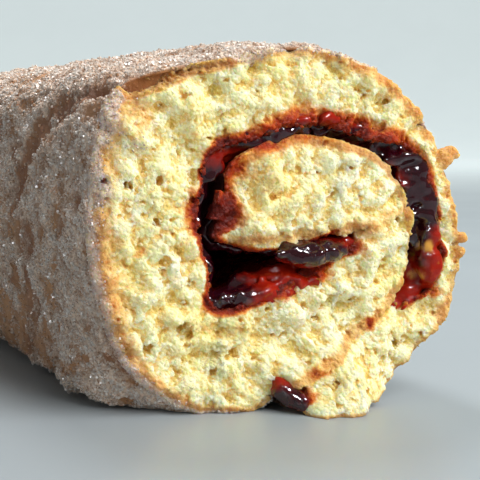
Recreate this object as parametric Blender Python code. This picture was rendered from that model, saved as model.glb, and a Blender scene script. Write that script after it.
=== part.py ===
"""A sugared swiss roll: one rolled sheet of sponge and the jam that runs through it.

The roll lies along Y on a flat foot, with its spiral showing at both ends. Every size is in
metres once it has been multiplied by MM.
"""

import math

import bmesh
import bpy

MM = 0.001

ROLL_LENGTH = 160 * MM
FRONT_CUT_SLOPE = -0.18  # the front cut leans forward towards +X
BACK_CUT_SLOPE = 0.06
TAIL_REACH = 10 * MM  # how far the sheet's end sticks out of the front cut
TAIL_HEIGHT = 12 * MM
TAIL_MIDDLE = 6 * MM  # where along X it sticks out furthest
TAIL_WIDTH = 8 * MM
STATIONS = 15  # sections along the roll
SHOULDER = 26 * MM  # how far in from each cut the roll reaches its full girth
SWELL_X = 0.030  # how much wider and higher the roll is there than at a cut
SWELL_Z = 0.026
LOBE_SAG = 9.0 * MM  # how far the sheet's first lobe bulges at the roll's foot
LOBE_SAG_LOSS = 1.0  # the part of that bulge that is gone by the back cut
LOBE_SHOULDER = 13 * MM
LOBE_MIDDLE = -20 * MM  # the bulge's middle along X, its width and its height
LOBE_WIDTH = 11 * MM
LOBE_HEIGHT = 12 * MM
SWAY = 0.5 * MM  # unevenness of the roll's line
SWAY_WAVES = 0.7  # how many times it sways from end to end
SHARP_ANGLE = math.radians(40)  # edges above it, such as those of the cuts, look sharp
CURVE_STEPS = 3  # points between two rungs
CLEARANCE = 0.3 * MM  # between the sponge and the jam
LEAST_WALL = 0.9 * MM  # where the jam is only a film in a closed seam

# The sheet seen at the front, from its inner end to its outer end, as a ladder. Each rung has
# its skin side (x, z), its jam side (x, z) and the depth of the jam on it, in millimetres.
# The jam starts at the first rung that has a depth.
RUNGS = (
    ("inner end", (-9.3, 34.0), (-10.2, 30.6), None),
    ("inner end corners", (-8.2, 38.4), (-10.9, 26.8), None),
    ("tongue", (1.0, 42.4), (-1.0, 25.0), None),
    ("tongue root", (11.5, 40.8), (9.5, 28.6), None),
    ("fold top", (18.2, 36.4), (15.6, 31.2), None),
    ("fold", (21.4, 27.0), (17.4, 30.0), None),
    ("fold foot", (19.6, 18.4), (12.5, 26.0), 1.4),
    ("lower layer", (10.0, 10.6), (2.0, 21.2), 2.0),
    ("lower layer end", (0.5, 5.0), (-6.5, 16.9), 1.6),
    ("lobe foot", (-5.5, 0.0), (-11.2, 16.4), 1.3),
    ("lobe", (-14.0, 0.0), (-12.3, 19.5), 1.2),
    ("lobe side", (-25.5, 9.0), (-12.4, 23.0), 1.2),
    ("left side", (-30.4, 26.0), (-14.2, 28.5), 1.5),
    ("left shoulder", (-29.0, 43.5), (-13.6, 35.6), 1.6),
    ("corner", (-24.5, 51.2), (-11.5, 40.6), 1.8),
    ("crown left", (-10.0, 54.9), (-5.0, 44.2), 2.0),
    ("crown", (3.5, 57.0), (3.5, 46.6), 3.2),
    ("right shoulder", (16.9, 52.4), (13.4, 44.6), 3.0),
    ("right upper side", (26.3, 41.7), (22.2, 39.8), 3.6),
    ("right side", (30.6, 27.0), (26.8, 28.0), 4.0),
    ("right lower side", (29.6, 16.5), (26.0, 18.6), 3.0),
    ("tail root", (23.2, 7.8), (18.6, 13.6), LEAST_WALL / MM),
    ("tail", (11.5, 0.0), (9.0, 7.6), LEAST_WALL / MM),
    ("tail end", (0.8, 0.0), (-0.6, 1.7), LEAST_WALL / MM),
)

MATERIALS = {
    "sponge": {"color": (0.80, 0.58, 0.24, 1.0), "roughness": 0.85, "metallic": 0.0},
    "jam": {"color": (0.22, 0.010, 0.012, 1.0), "roughness": 0.12, "metallic": 0.0},
}


def clear_scene():
    for obj in list(bpy.data.objects):
        bpy.data.objects.remove(obj, do_unlink=True)


def new_collection(name):
    collection = bpy.data.collections.new(name)
    bpy.context.scene.collection.children.link(collection)
    return collection


def new_material(name):
    look = MATERIALS[name]
    material = bpy.data.materials.new(name)
    material.use_nodes = True
    shader = material.node_tree.nodes["Principled BSDF"]
    shader.inputs["Base Color"].default_value = look["color"]
    shader.inputs["Roughness"].default_value = look["roughness"]
    shader.inputs["Metallic"].default_value = look["metallic"]
    return material


def catmull_rom(before, start, end, after, t):
    """A number between start and end, on the smooth curve through all four."""
    return 0.5 * (
        2 * start
        + (end - before) * t
        + (2 * before - 5 * start + 4 * end - after) * t**2
        + (3 * start - before - 3 * end + after) * t**3
    )


def smooth_row(values):
    """The values with CURVE_STEPS - 1 more between each two, on one smooth curve."""
    row = []
    last = len(values) - 1
    for i in range(last):
        before, after = values[max(i - 1, 0)], values[min(i + 2, last)]
        for step in range(CURVE_STEPS):
            row.append(
                catmull_rom(before, values[i], values[i + 1], after, step / CURVE_STEPS)
            )
    return row + [values[-1]]


def smooth_line(points):
    """A smooth (x, z) line through points given in millimetres. It never dips under the foot."""
    xs = smooth_row([x * MM for x, _ in points])
    zs = smooth_row([z * MM for _, z in points])
    return [(x, max(z, 0.0)) for x, z in zip(xs, zs)]


def offset_line(line, distances):
    """The line moved to its right-hand side, seen from -Y, by a distance for each point."""
    moved = []
    for i, ((x, z), distance) in enumerate(zip(line, distances)):
        x0, z0 = line[max(i - 1, 0)]
        x1, z1 = line[min(i + 1, len(line) - 1)]
        length = math.hypot(x1 - x0, z1 - z0)
        moved.append((x + distance * (z1 - z0) / length, z - distance * (x1 - x0) / length))
    return moved


def sponge_outline():
    skin = smooth_line([rung[1] for rung in RUNGS])
    jam_side = smooth_line([rung[2] for rung in RUNGS])
    return skin + jam_side[::-1]


def jam_outline():
    """The jam lies on the sheet's jam side from the fold to the tail end."""
    covered = [rung for rung in RUNGS if rung[3] is not None]
    bare = len(RUNGS) - len(covered)
    jam_side = smooth_line([rung[2] for rung in RUNGS])[bare * CURVE_STEPS :]
    depths = smooth_row([rung[3] * MM for rung in covered])
    under = offset_line(jam_side, [CLEARANCE] * len(jam_side))
    top = offset_line(jam_side, [CLEARANCE + depth for depth in depths])
    return under + top[::-1]


def front_y(x, z):
    """The front cut: a slanted plane, with the sheet's outer end standing out of it."""
    near_foot = max(0.0, 1.0 - z / TAIL_HEIGHT)
    near_tail = math.exp(-(((x - TAIL_MIDDLE) / TAIL_WIDTH) ** 2))
    return -ROLL_LENGTH / 2 + FRONT_CUT_SLOPE * x - TAIL_REACH * near_foot * near_tail


def back_y(x):
    return ROLL_LENGTH / 2 + BACK_CUT_SLOPE * x


def fullness(along, shoulder):
    """How full the roll is at a part of the way along it: 0 at a cut, 1 past the shoulder."""
    inward = min(1.0, min(along, 1 - along) * ROLL_LENGTH / shoulder)
    return inward * inward * (3 - 2 * inward)


def placed(x, z, along):
    """A point of the section at a part of the way along the roll, 0 at the front."""
    full = fullness(along, SHOULDER)
    near_lobe = math.exp(-(((x - LOBE_MIDDLE) / LOBE_WIDTH) ** 2) - (z / LOBE_HEIGHT) ** 2)
    sag = LOBE_SAG * (1 - LOBE_SAG_LOSS * along) * fullness(along, LOBE_SHOULDER) * near_lobe
    sway = SWAY * math.sin(math.tau * SWAY_WAVES * along)
    y = front_y(x, z) + along * (back_y(x) - front_y(x, z))
    return (x * (1 + SWELL_X * full) - sag + sway, y, z * (1 + SWELL_Z * full))


def rolled_solid(name, outline, collection):
    """Extrudes the outline along the roll, section by section, into one closed body."""
    mesh = bpy.data.meshes.new(name)
    bm = bmesh.new()
    front = bm.faces.new([bm.verts.new((x, 0.0, z)) for x, z in outline])
    section = front
    for station in range(1, STATIONS):
        grown = bmesh.ops.extrude_face_region(bm, geom=[section])["geom"]
        if section is not front and section.is_valid:
            bmesh.ops.delete(bm, geom=[section], context="FACES_ONLY")
        section = next(part for part in grown if isinstance(part, bmesh.types.BMFace))
        bmesh.ops.translate(bm, verts=section.verts, vec=(0.0, 1.0, 0.0))
    bmesh.ops.triangulate(bm, faces=[front, section])
    for vert in bm.verts:
        vert.co = placed(vert.co.x, vert.co.z, vert.co.y / (STATIONS - 1))
    bmesh.ops.recalc_face_normals(bm, faces=bm.faces)
    bm.to_mesh(mesh)
    bm.free()
    mesh.materials.append(new_material(name))
    obj = bpy.data.objects.new(name, mesh)
    collection.objects.link(obj)
    return obj


def centre_on_origin(objects):
    """Moves the roll so that the middle of its foot is at the origin."""
    points = [vert.co for obj in objects for vert in obj.data.vertices]
    shift = []
    for axis in range(2):
        row = [point[axis] for point in points]
        shift.append(-(min(row) + max(row)) / 2)
    for obj in objects:
        for vert in obj.data.vertices:
            vert.co.x += shift[0]
            vert.co.y += shift[1]


def build():
    clear_scene()
    collection = new_collection("swiss_roll")
    sponge = rolled_solid("sponge", sponge_outline(), collection)
    jam = rolled_solid("jam", jam_outline(), collection)
    centre_on_origin([sponge, jam])
    for obj in (sponge, jam):
        obj.data.set_sharp_from_angle(angle=SHARP_ANGLE)


build()
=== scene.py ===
"""The looks of a sugared swiss roll: its crumb, crust, sugar and jam."""

import math
from collections import namedtuple

import bmesh
import bpy
import numpy as np
import openvdb
from bpy.props import FloatProperty, FloatVectorProperty, IntProperty, PointerProperty
from bpy.types import Operator, Panel, PropertyGroup
from mathutils import Matrix, Vector


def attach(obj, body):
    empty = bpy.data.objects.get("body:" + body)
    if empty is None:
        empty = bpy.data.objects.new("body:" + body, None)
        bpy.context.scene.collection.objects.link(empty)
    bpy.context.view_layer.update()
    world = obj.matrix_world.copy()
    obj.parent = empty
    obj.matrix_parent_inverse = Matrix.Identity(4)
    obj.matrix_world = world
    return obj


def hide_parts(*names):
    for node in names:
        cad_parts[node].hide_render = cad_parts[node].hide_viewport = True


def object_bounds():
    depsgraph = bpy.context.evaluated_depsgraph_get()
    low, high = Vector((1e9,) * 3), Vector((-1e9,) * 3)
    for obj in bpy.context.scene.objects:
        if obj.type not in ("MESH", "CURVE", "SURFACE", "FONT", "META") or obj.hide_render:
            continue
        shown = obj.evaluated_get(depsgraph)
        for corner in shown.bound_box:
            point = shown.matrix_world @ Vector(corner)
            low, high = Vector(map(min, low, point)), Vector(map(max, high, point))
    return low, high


bl_info = {
    "name": "Swiss Roll",
    "version": (1, 0, 0),
    "blender": (4, 5, 0),
    "location": "3D View > Sidebar > Swiss Roll",
    "description": "Builds the crumb, crust, sugar and jam of a swiss roll around its packed model",
    "category": "Object",
}

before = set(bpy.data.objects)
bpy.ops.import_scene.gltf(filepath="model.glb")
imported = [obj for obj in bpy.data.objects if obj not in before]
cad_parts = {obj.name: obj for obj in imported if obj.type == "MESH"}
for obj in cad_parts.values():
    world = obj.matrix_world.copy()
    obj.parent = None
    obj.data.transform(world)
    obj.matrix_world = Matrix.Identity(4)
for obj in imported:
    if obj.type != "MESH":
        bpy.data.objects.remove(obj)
CAD_LOW, CAD_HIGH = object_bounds()

# ---------------------------------------------------------------------------------------
# The rolled sheet. Lengths are in millimetres until a mesh is made. A place in the roll is
# (x, depth, z): x and z in the section, and depth from the front cut along the roll.
# ---------------------------------------------------------------------------------------

MM = 0.001
ROLL_LENGTH = 160.0
FRONT_CUT_SLOPE = -0.18  # how the two cuts lean back across the roll
BACK_CUT_SLOPE = 0.06
# The sheet's outer end stands out of the front cut: how far, how high, and where.
TAIL_REACH = 10.0
TAIL_HEIGHT = 12.0
TAIL_MIDDLE = 6.0
TAIL_WIDTH = 8.0
# The roll is fuller between its cuts than at them, by these shares.
SHOULDER = 26.0
SWELL_X = 0.030
SWELL_Z = 0.026
# The lobe at the lower left sags most near the front cut.
LOBE_SAG = 9.0
LOBE_SHOULDER = 13.0
LOBE_MIDDLE = -20.0
LOBE_WIDTH = 11.0
LOBE_HEIGHT = 12.0
SWAY = 0.5  # how far the roll bends from side to side
SWAY_WAVES = 0.7
CURVE_STEPS = 4
SHIFT_SECTIONS = 15
SKIN_START = 8.75  # the rung from which the sheet's skin is on the outside of the roll
# Stretches of the sheet, in rungs: where each starts, is full, starts to fade, and ends.
TAIL_SEAM = (20.4, 21.0, 22.5, 22.9)
FOLD_SEAM = (2.7, 3.1, 5.8, 6.2)
CROWN = (14.2, 15.0, 17.1, 17.8)
TONGUE = (0.4, 1.2, 4.0, 5.0)
TOP_OF_SKIN = (13.6, 14.6, 15.6, 16.6)

# One rung of the sheet, from its inner end to its outer end: its skin side and its jam side
# as (x, z), how deep its skin is toasted, how deep jam soaks into it, and how deep jam lies.
Rung = namedtuple("Rung", "name skin jam_side toast soak jam")
RUNGS = (
    Rung("inner end", (-9.3, 34.0), (-10.2, 30.6), 0.9, 2.6, 0.0),
    Rung("inner end corners", (-8.2, 38.4), (-10.9, 26.8), 0.9, 0.9, 0.0),
    Rung("tongue", (1.0, 42.4), (-1.0, 25.0), 1.0, 0.4, 0.3),
    Rung("tongue root", (11.5, 40.8), (9.5, 28.6), 0.7, 0.3, 0.3),
    Rung("fold top", (18.2, 36.4), (15.6, 31.2), 0.4, 0.1, 0.2),
    Rung("fold", (21.4, 27.0), (17.4, 30.0), 0.35, 0.2, 0.2),
    Rung("fold foot", (19.6, 18.4), (12.5, 26.0), 0.6, 1.0, 0.8),
    Rung("lower layer", (10.0, 10.6), (2.0, 21.2), 0.7, 0.8, 2.0),
    Rung("lower layer end", (0.5, 5.0), (-6.5, 16.9), 0.9, 0.7, 1.0),
    Rung("lobe foot", (-5.5, 0.0), (-11.2, 16.4), 0.8, 0.9, 0.6),
    Rung("lobe", (-14.0, 0.0), (-12.3, 19.5), 1.1, 0.6, 0.5),
    Rung("lobe side", (-25.5, 9.0), (-12.4, 23.0), 2.7, 0.5, 0.7),
    Rung("left side", (-30.4, 26.0), (-14.2, 28.5), 3.0, 0.7, 0.9),
    Rung("left shoulder", (-29.0, 43.5), (-13.6, 35.6), 2.6, 0.3, 1.0),
    Rung("corner", (-24.5, 51.2), (-11.5, 40.6), 1.7, 0.9, 1.2),
    Rung("crown left", (-10.0, 54.9), (-5.0, 44.2), 1.5, 1.9, 1.8),
    Rung("crown", (3.5, 57.0), (3.5, 46.6), 1.8, 2.7, 2.8),
    Rung("right shoulder", (16.9, 52.4), (13.4, 44.6), 2.1, 2.4, 2.2),
    Rung("right upper side", (26.3, 41.7), (22.2, 39.8), 1.9, 1.2, 3.6),
    Rung("right side", (30.6, 27.0), (26.8, 28.0), 1.5, 0.5, 4.0),
    Rung("right lower side", (29.6, 16.5), (26.0, 18.6), 1.7, 0.4, 2.0),
    Rung("tail root", (23.2, 7.8), (18.6, 13.6), 1.2, 0.4, 0.7),
    Rung("tail", (11.5, 0.0), (9.0, 7.6), 0.5, 0.4, 0.4),
    Rung("tail end", (0.8, 0.0), (-0.6, 1.7), 0.4, 0.5, 0.0),
)


def sheet_side(name):
    """One side of the sheet as a Catmull-Rom curve in the section, never under the floor."""
    corners = np.array([getattr(rung, name) for rung in RUNGS])
    padded = np.concatenate([corners[:1], corners, corners[-1:]])[:, None]
    before, start, end, after = padded[:-3], padded[1:-2], padded[2:-1], padded[3:]
    t = (np.arange(CURVE_STEPS) / CURVE_STEPS)[:, None]
    curve = 0.5 * (
        2 * start
        + (end - before) * t
        + (2 * before - 5 * start + 4 * end - after) * t**2
        + (3 * start - before - 3 * end + after) * t**3
    )
    line = np.concatenate([curve.reshape(-1, 2), corners[-1:]])
    line[:, 1] = line[:, 1].clip(0)
    return line


def rung_value(name, place):
    """A rung's number at places along the sheet, counted in rungs."""
    return np.interp(place, np.arange(len(RUNGS)), [getattr(rung, name) for rung in RUNGS])


def ease(x, low, high):
    """0 below low, 1 above high, and a smooth step between."""
    t = np.clip((x - low) / (high - low), 0, 1)
    return t * t * (3 - 2 * t)


def hump(x, start, full, fading, end):
    """0, then 1 from full to fading, then 0 again, with smooth steps between."""
    return ease(x, start, full) * (1 - ease(x, fading, end))


def fullness(depth, shoulder):
    """0 at either cut, 1 from a shoulder's depth inwards."""
    return ease(np.minimum(depth, ROLL_LENGTH - depth), 0, shoulder)


def tail_reach(x, z):
    """How far the sheet's end stands out of the front cut at a place of the section."""
    near_tail = np.exp(-(((x - TAIL_MIDDLE) / TAIL_WIDTH) ** 2))
    return TAIL_REACH * np.clip(1 - z / TAIL_HEIGHT, 0, 1) * near_tail


def unshifted(places):
    """Section places as (x, y, z) of the roll before it is centred."""
    x, depth, z = np.asarray(places, float).T
    along = depth / ROLL_LENGTH
    full = fullness(depth, SHOULDER)
    near_lobe = np.exp(-(((x - LOBE_MIDDLE) / LOBE_WIDTH) ** 2) - (z / LOBE_HEIGHT) ** 2)
    sag = LOBE_SAG * (1 - along.clip(0, 1)) * fullness(depth, LOBE_SHOULDER) * near_lobe
    sway = SWAY * np.sin(math.tau * SWAY_WAVES * along)
    front = -ROLL_LENGTH / 2 + FRONT_CUT_SLOPE * x - tail_reach(x, z)
    back = ROLL_LENGTH / 2 + BACK_CUT_SLOPE * x
    y = front + along * (back - front)
    return np.stack([x * (1 + SWELL_X * full) - sag + sway, y, z * (1 + SWELL_Z * full)], 1)


def centre_shift():
    """What brings the roll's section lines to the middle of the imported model's box."""
    outline = np.concatenate([sheet_side("skin"), sheet_side("jam_side")])
    depths = np.linspace(0, ROLL_LENGTH, SHIFT_SECTIONS)
    points = np.concatenate([unshifted(np.insert(outline, 1, depth, axis=1)) for depth in depths])
    middle = (points.min(0) + points.max(0)) / 2
    cad_middle = (CAD_LOW + CAD_HIGH) / 2 / MM
    return np.array([cad_middle.x - middle[0], cad_middle.y - middle[1], CAD_LOW.z / MM])


SHIFT = centre_shift()


def in_roll(places):
    """Section places in millimetres as points of the finished roll in metres."""
    return (unshifted(places) + SHIFT) * MM


def nearest_on_line(points, line):
    """The distance from each point to a line, and the place along it, counted in points."""
    best = np.full(len(points), np.inf)
    place = np.zeros(len(points))
    for i, (start, end) in enumerate(zip(line[:-1], line[1:])):
        run = end - start
        part = np.clip((points - start) @ run / max(run @ run, 1e-9), 0, 1)
        gap = np.hypot(*(points - start - part[:, None] * run).T)
        closer = gap < best
        best[closer] = gap[closer]
        place[closer] = i + part[closer]
    return best, place


def inside_line(points, line):
    """Which points are inside a closed line."""
    x, z = points.T
    inside = np.zeros(len(points), bool)
    for start, end in zip(line, np.roll(line, -1, axis=0)):
        if start[1] == end[1]:
            continue
        crosses = (start[1] > z) != (end[1] > z)
        at = start[0] + (z - start[1]) * (end[0] - start[0]) / (end[1] - start[1])
        inside ^= crosses & (x < at)
    return inside


def between_points(block, u, v):
    """A flat block of numbers read at any places, counted in its points."""
    u, v = (np.clip(part, 0, count - 1.001) for part, count in zip((u, v), block.shape))
    i, j = u.astype(int), v.astype(int)
    u, v = u - i, v - j
    return (
        block[i, j] * (1 - u) * (1 - v)
        + block[i + 1, j] * u * (1 - v)
        + block[i, j + 1] * (1 - u) * v
        + block[i + 1, j + 1] * u * v
    )


class Section:
    """What the rolled sheet is like at each place of its section, on a fine square grid."""

    low = np.array([-34.0, -1.5])
    high = np.array([34.0, 61.0])
    crown_swell = 1.6  # how far the crumb swells into the jam's gap under the crown
    seam_reach = 0.4  # how far into a layer its seam still counts
    far = 9.0

    def __init__(self, step):
        self.step = step
        self.shape = tuple(np.ceil((self.high - self.low) / step).astype(int) + 1)
        xs, zs = (self.low[i] + step * np.arange(self.shape[i]) for i in range(2))
        grid = np.stack(np.meshgrid(xs, zs, indexing="ij"), -1).reshape(-1, 2)
        skin, jam_side = sheet_side("skin"), sheet_side("jam_side")
        to_skin, skin_place = nearest_on_line(grid, skin)
        to_jam, jam_place = nearest_on_line(grid, jam_side)
        to_inner_end = nearest_on_line(grid, np.array([skin[0], jam_side[0]]))[0]
        to_outer_end = nearest_on_line(grid, np.array([skin[-1], jam_side[-1]]))[0]
        edge = np.minimum.reduce([to_skin, to_jam, to_inner_end, to_outer_end])
        inside = inside_line(grid, np.concatenate([skin, jam_side[::-1]]))
        maps = {
            "solid": np.where(inside, -edge, edge),  # below 0 in the sheet
            "to_skin": to_skin,
            "to_jam": to_jam,
            "to_inner_end": to_inner_end,
            "skin_place": skin_place / CURVE_STEPS,
            "jam_place": jam_place / CURVE_STEPS,
            "x": grid[:, 0],
            "z": grid[:, 1],
        }
        self.maps = {name: values.reshape(self.shape) for name, values in maps.items()}
        outdoors = (self["skin_place"] > SKIN_START) & (self["to_skin"] < self["to_jam"])
        place = self["jam_place"]
        touching = np.maximum(hump(place, *TAIL_SEAM), hump(place, *FOLD_SEAM))
        self.maps["outdoors"] = outdoors
        self.maps["closed"] = np.where(outdoors, 0, touching)  # 1 where layers touch
        self.maps["swell"] = self.crown_swell * hump(place, *CROWN)

    def __getitem__(self, name):
        return self.maps[name]

    def seam(self):
        """How far a place between two layers is from the middle of their gap."""
        in_gap = self["solid"] > -self.seam_reach
        return np.where(in_gap, self["to_skin"] - self["to_jam"], self.far)

    def at(self, name, x, z):
        """A map read at any places, with straight lines between its grid points."""
        low, step = self.low, self.step
        return between_points(self[name], (x - low[0]) / step, (z - low[1]) / step)

    def origin(self, depths):
        """The first corner of a block that stands on the section at these depths."""
        return np.array([self.low[0], depths[0], self.low[1]])


def through(flat):
    """A map of the section as a block that is the same at every depth."""
    return flat[:, None, :]


def waves_of(shape, step):
    """How often each wave of a block's Fourier transform comes in a millimetre, by side."""
    waves = [np.fft.fftfreq(n, step) for n in shape[:-1]] + [np.fft.rfftfreq(shape[-1], step)]
    return np.meshgrid(*waves, indexing="ij", sparse=True)


def blurred(block, step, size):
    """The block averaged softly over about a size in millimetres."""
    spread = np.fft.rfftn(block.astype(np.float32))
    for wave in waves_of(block.shape, step):
        spread *= np.exp(-2 * (math.pi * wave * size) ** 2)
    return np.fft.irfftn(spread, s=block.shape, axes=range(block.ndim)).astype(np.float32)


NOISE_BAND = 0.45  # how far lumps may differ from their size


def noise_block(shape, step, size, seed):
    """A block of soft lumps of about one size in millimetres, with a spread of 1."""
    rng = np.random.default_rng(seed)
    block = np.fft.rfftn(rng.standard_normal(shape))
    pitch = np.sqrt(sum(wave**2 for wave in waves_of(shape, step)))
    block *= np.exp(-0.5 * ((pitch * size - 1) / NOISE_BAND) ** 2)
    block = np.fft.irfftn(block, s=shape, axes=range(len(shape))).astype(np.float32)
    return block / block.std()


def walled(field):
    """Puts the outermost layer of a block outside its solid, so that the surface closes."""
    field[[0, -1]] = field[:, [0, -1]] = field[:, :, [0, -1]] = 1.0
    return field


def smooth_max(a, b, blend):
    """The larger of two fields, rounded where they cross."""
    h = np.clip(0.5 + 0.5 * (a - b) / blend, 0, 1)
    return b + (a - b) * h + blend * h * (1 - h)


def stamp_balls(field, origin, step, balls, blend):
    """Cuts balls (x, depth, z, radius, squash) out of a field, below 0 where solid."""
    for *centre, radius, squash in balls:
        middle = (np.array(centre) - origin) / step
        reach = (radius + 2 * blend + step) / step
        low = np.maximum(np.floor(middle - reach).astype(int), 0)
        high = np.minimum(np.ceil(middle + reach).astype(int) + 1, field.shape)
        if (high <= low).any():
            continue
        axes = [np.arange(a, b) - m for a, b, m in zip(low, high, middle)]
        x, y, z = np.meshgrid(*axes, indexing="ij", sparse=True)
        ball = radius - step * np.sqrt(x * x + (y * squash) ** 2 + z * z)
        block = field[low[0] : high[0], low[1] : high[1], low[2] : high[2]]
        block[...] = smooth_max(block, ball.astype(np.float32), blend)


def largest_bodies(count, faces, least):
    """Which faces are on a connected body of at least so many points."""
    ends = np.concatenate([faces[:, [0, 1]], faces[:, [1, 2]], faces[:, [2, 3]]])
    owner = np.concatenate([ends[:, 0], ends[:, 1]])
    other = np.concatenate([ends[:, 1], ends[:, 0]])
    order = np.argsort(owner, kind="stable")
    owner, other = owner[order], other[order]
    first = np.flatnonzero(np.diff(owner, prepend=-1))
    label = np.arange(count)
    while True:
        grown = label.copy()
        lowest = np.minimum.reduceat(label[other], first)
        grown[owner[first]] = np.minimum(label[owner[first]], lowest)
        np.minimum.at(grown, label, grown)
        grown = grown[grown]
        if (grown == label).all():
            break
        label = grown
    return np.bincount(label, minlength=count)[label[faces[:, 0]]] >= least


FLOOR_GAP = 0.02
LEAST_CRUMB = 400  # points of the smallest loose bit that stays


def surface_of(field, origin, step, adaptivity, least=LEAST_CRUMB):
    """The surface where a field is 0, as points in millimetres and faces of four corners.

    A face of three corners has its last one twice.
    """
    grid = openvdb.FloatGrid(1.0)
    grid.copyFromArray(np.ascontiguousarray(field, np.float32))
    points, triangles, quads = grid.convertToPolygons(0.0, adaptivity)
    triangles = np.concatenate([triangles, triangles[:, 2:]], axis=1)
    faces = np.concatenate([triangles, quads]).astype(int)
    faces = faces[largest_bodies(len(points), faces, least)]
    used, index = np.unique(faces, return_inverse=True)
    points = points[used] * step + origin
    points[:, 2] = np.maximum(points[:, 2], FLOOR_GAP)
    faces = index.reshape(faces.shape)
    corners = points[faces[:, :3]]
    if np.linalg.det(corners - corners.mean((0, 1))).sum() < 0:
        faces = mirrored(faces)
    return points, faces


# ---------------------------------------------------------------------------------------
# Places on the roll that the pieces share
# ---------------------------------------------------------------------------------------

# By rung: how wide the sugar on the crumb's edge is, and how far the cut edge is rounded.
RIM_PLACES = (0, 5, 8, 9, 10.5, 12, 13.5, 15, 17, 19, 21, 23)
RIM_SUGAR = (0.2, 0.2, 0.2, 0.5, 1.2, 2.4, 3.0, 2.0, 0.3, 0.2, 0.2, 0.2)
RIM_ROUND = (0.5, 0.6, 0.8, 1.4, 2.0, 2.6, 2.0, 1.0, 1.2, 1.4, 1.6, 1.0)
# The split in the crust: (x, depth, z, radius) from its thin end to where it opens.
SPLIT = (
    (-27.4, 9.0, 49.6, 0.5),
    (-25.8, 5.0, 50.2, 1.0),
    (-23.4, 1.0, 51.0, 1.7),
    (-20.2, 0.2, 51.7, 1.5),
    (-17.0, 0.0, 52.6, 1.1),
    (-13.4, 0.1, 53.5, 0.7),
    (-9.0, 0.1, 54.4, 0.4),
)
SPLIT_RUNG = 14.1
# The bare valley in the sugared skin, as (rung, depth).
VALLEY = ((13.75, 9.0), (13.4, 14.5), (13.2, 20.0), (12.95, 26.0), (12.6, 30.0), (12.3, 36.0))
BACK_RIM_DEPTH = 0.6  # how deep behind the back cut the skin starts
FRONT_RIM_DEPTH = 0.9  # the same at the front, where the edge is sharp
ROUNDED_RIM_DEPTH = 0.42  # what is added for each millimetre that the edge is rounded
SPLIT_STRETCH = 0.45  # depth counts by this share in the distance from the split


def rim_round(place):
    return np.interp(place, RIM_PLACES, RIM_ROUND)


def front_rim_depth(place):
    """How deep behind the front cut the skin starts, by rung."""
    return FRONT_RIM_DEPTH + ROUNDED_RIM_DEPTH * rim_round(place)


def split_field(x, depth, z):
    """How far outside the crust's split a place is, in millimetres."""
    places = np.stack(np.broadcast_arrays(x, depth, z), -1).astype(float)
    best = np.full(places.shape[:-1], np.inf)
    for (*start, r0), (*end, r1) in zip(SPLIT[:-1], SPLIT[1:]):
        start, run = np.array(start), np.array(end) - np.array(start)
        part = np.clip((places - start) @ run / (run @ run), 0, 1)
        gap = places - start - part[..., None] * run
        gap[..., 1] *= SPLIT_STRETCH
        best = np.minimum(best, np.linalg.norm(gap, axis=-1) - r0 - part * (r1 - r0))
    return best


def mirrored(faces):
    """Faces turned round, for a surface whose points are mirrored."""
    turned = faces[:, [1, 0, 3, 2]]
    three = faces[:, 2] == faces[:, 3]
    turned[three] = faces[three][:, [1, 0, 2, 2]]
    return turned


def at_back(points, faces):
    """A surface that was made at the front cut, turned to the back one."""
    points[:, 1] = ROLL_LENGTH - points[:, 1]
    return points, mirrored(faces)


def mesh_of(name, points, corners, starts):
    """A mesh from its points in metres, its faces' corners, and where each face starts."""
    mesh = bpy.data.meshes.new(name)
    mesh.vertices.add(len(points))
    mesh.vertices.foreach_set("co", points.ravel().astype(np.float32))
    mesh.loops.add(len(corners))
    mesh.loops.foreach_set("vertex_index", corners.astype(np.int32))
    mesh.polygons.add(len(starts))
    mesh.polygons.foreach_set("loop_start", starts.astype(np.int32))
    mesh.update(calc_edges=True)
    return mesh


def surface_piece(name, points, faces, material, values):
    """A piece from a surface in millimetres of the section, with numbers at its points."""
    three = faces[:, 2] == faces[:, 3]
    starts = np.concatenate([[0], np.cumsum(np.where(three, 3, 4))[:-1]])
    keep = np.ones(faces.shape, bool)
    keep[three, 3] = False
    mesh = mesh_of(name, in_roll(points), faces[keep], starts)
    mesh.validate()
    return finished(name, mesh, material, values)


def finished(name, mesh, material, values):
    """Links a mesh as a smooth piece of the object, with its material and its numbers."""
    mesh.materials.append(material)
    for key, numbers in values.items():
        layer = mesh.attributes.new(key, "FLOAT", "POINT")
        layer.data.foreach_set("value", np.asarray(numbers, np.float32))
    mesh.shade_smooth()
    obj = bpy.data.objects.new(name, mesh)
    bpy.context.scene.collection.objects.link(obj)
    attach(obj, "root")
    return obj


# ---------------------------------------------------------------------------------------
# The crumb at the two cuts
# ---------------------------------------------------------------------------------------

PART_NAMES = ("left", "middle", "right")
PART_EDGES = (-11.0, 8.5)  # where the front crumb is parted, across the section
PART_OVERLAP = 1.2
PART_DIP = 0.3
FIRST_DIP = 0.03
CRUMB_SPAN = (-3.6, 6.4)  # the depths that the crumb's block spans
CRUMB_DEPTH = 3.2  # how deep the crumb goes, so that no hollow shows its back
FRONT_SEED = 11
BACK_SEED = 31
PORE_SEED = 4  # these two are added to a cut's seed
GRAIN_SEED = 5
# Pores at a cut, as (number, least radius, largest radius, deepest place under the cut).
FRONT_PORES = ((50, 0.5, 1.1, 0.1), (260, 0.3, 0.55, 0.2))
BACK_PORES = ((50, 0.5, 1.1, 0.1), (200, 0.4, 0.6, 0.2))
PORE_BALLS = (1.0, 0.75, 0.6)  # each pore is a ball with two smaller ones beside it
PORE_ASIDE = 0.9  # how far beside it, in its radius
PORE_SQUASH = (0.6, 1.2)
PORE_RISE = 0.45  # how far a pore's middle may stand out of the cut
PORE_EDGE = 0.1
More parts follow.
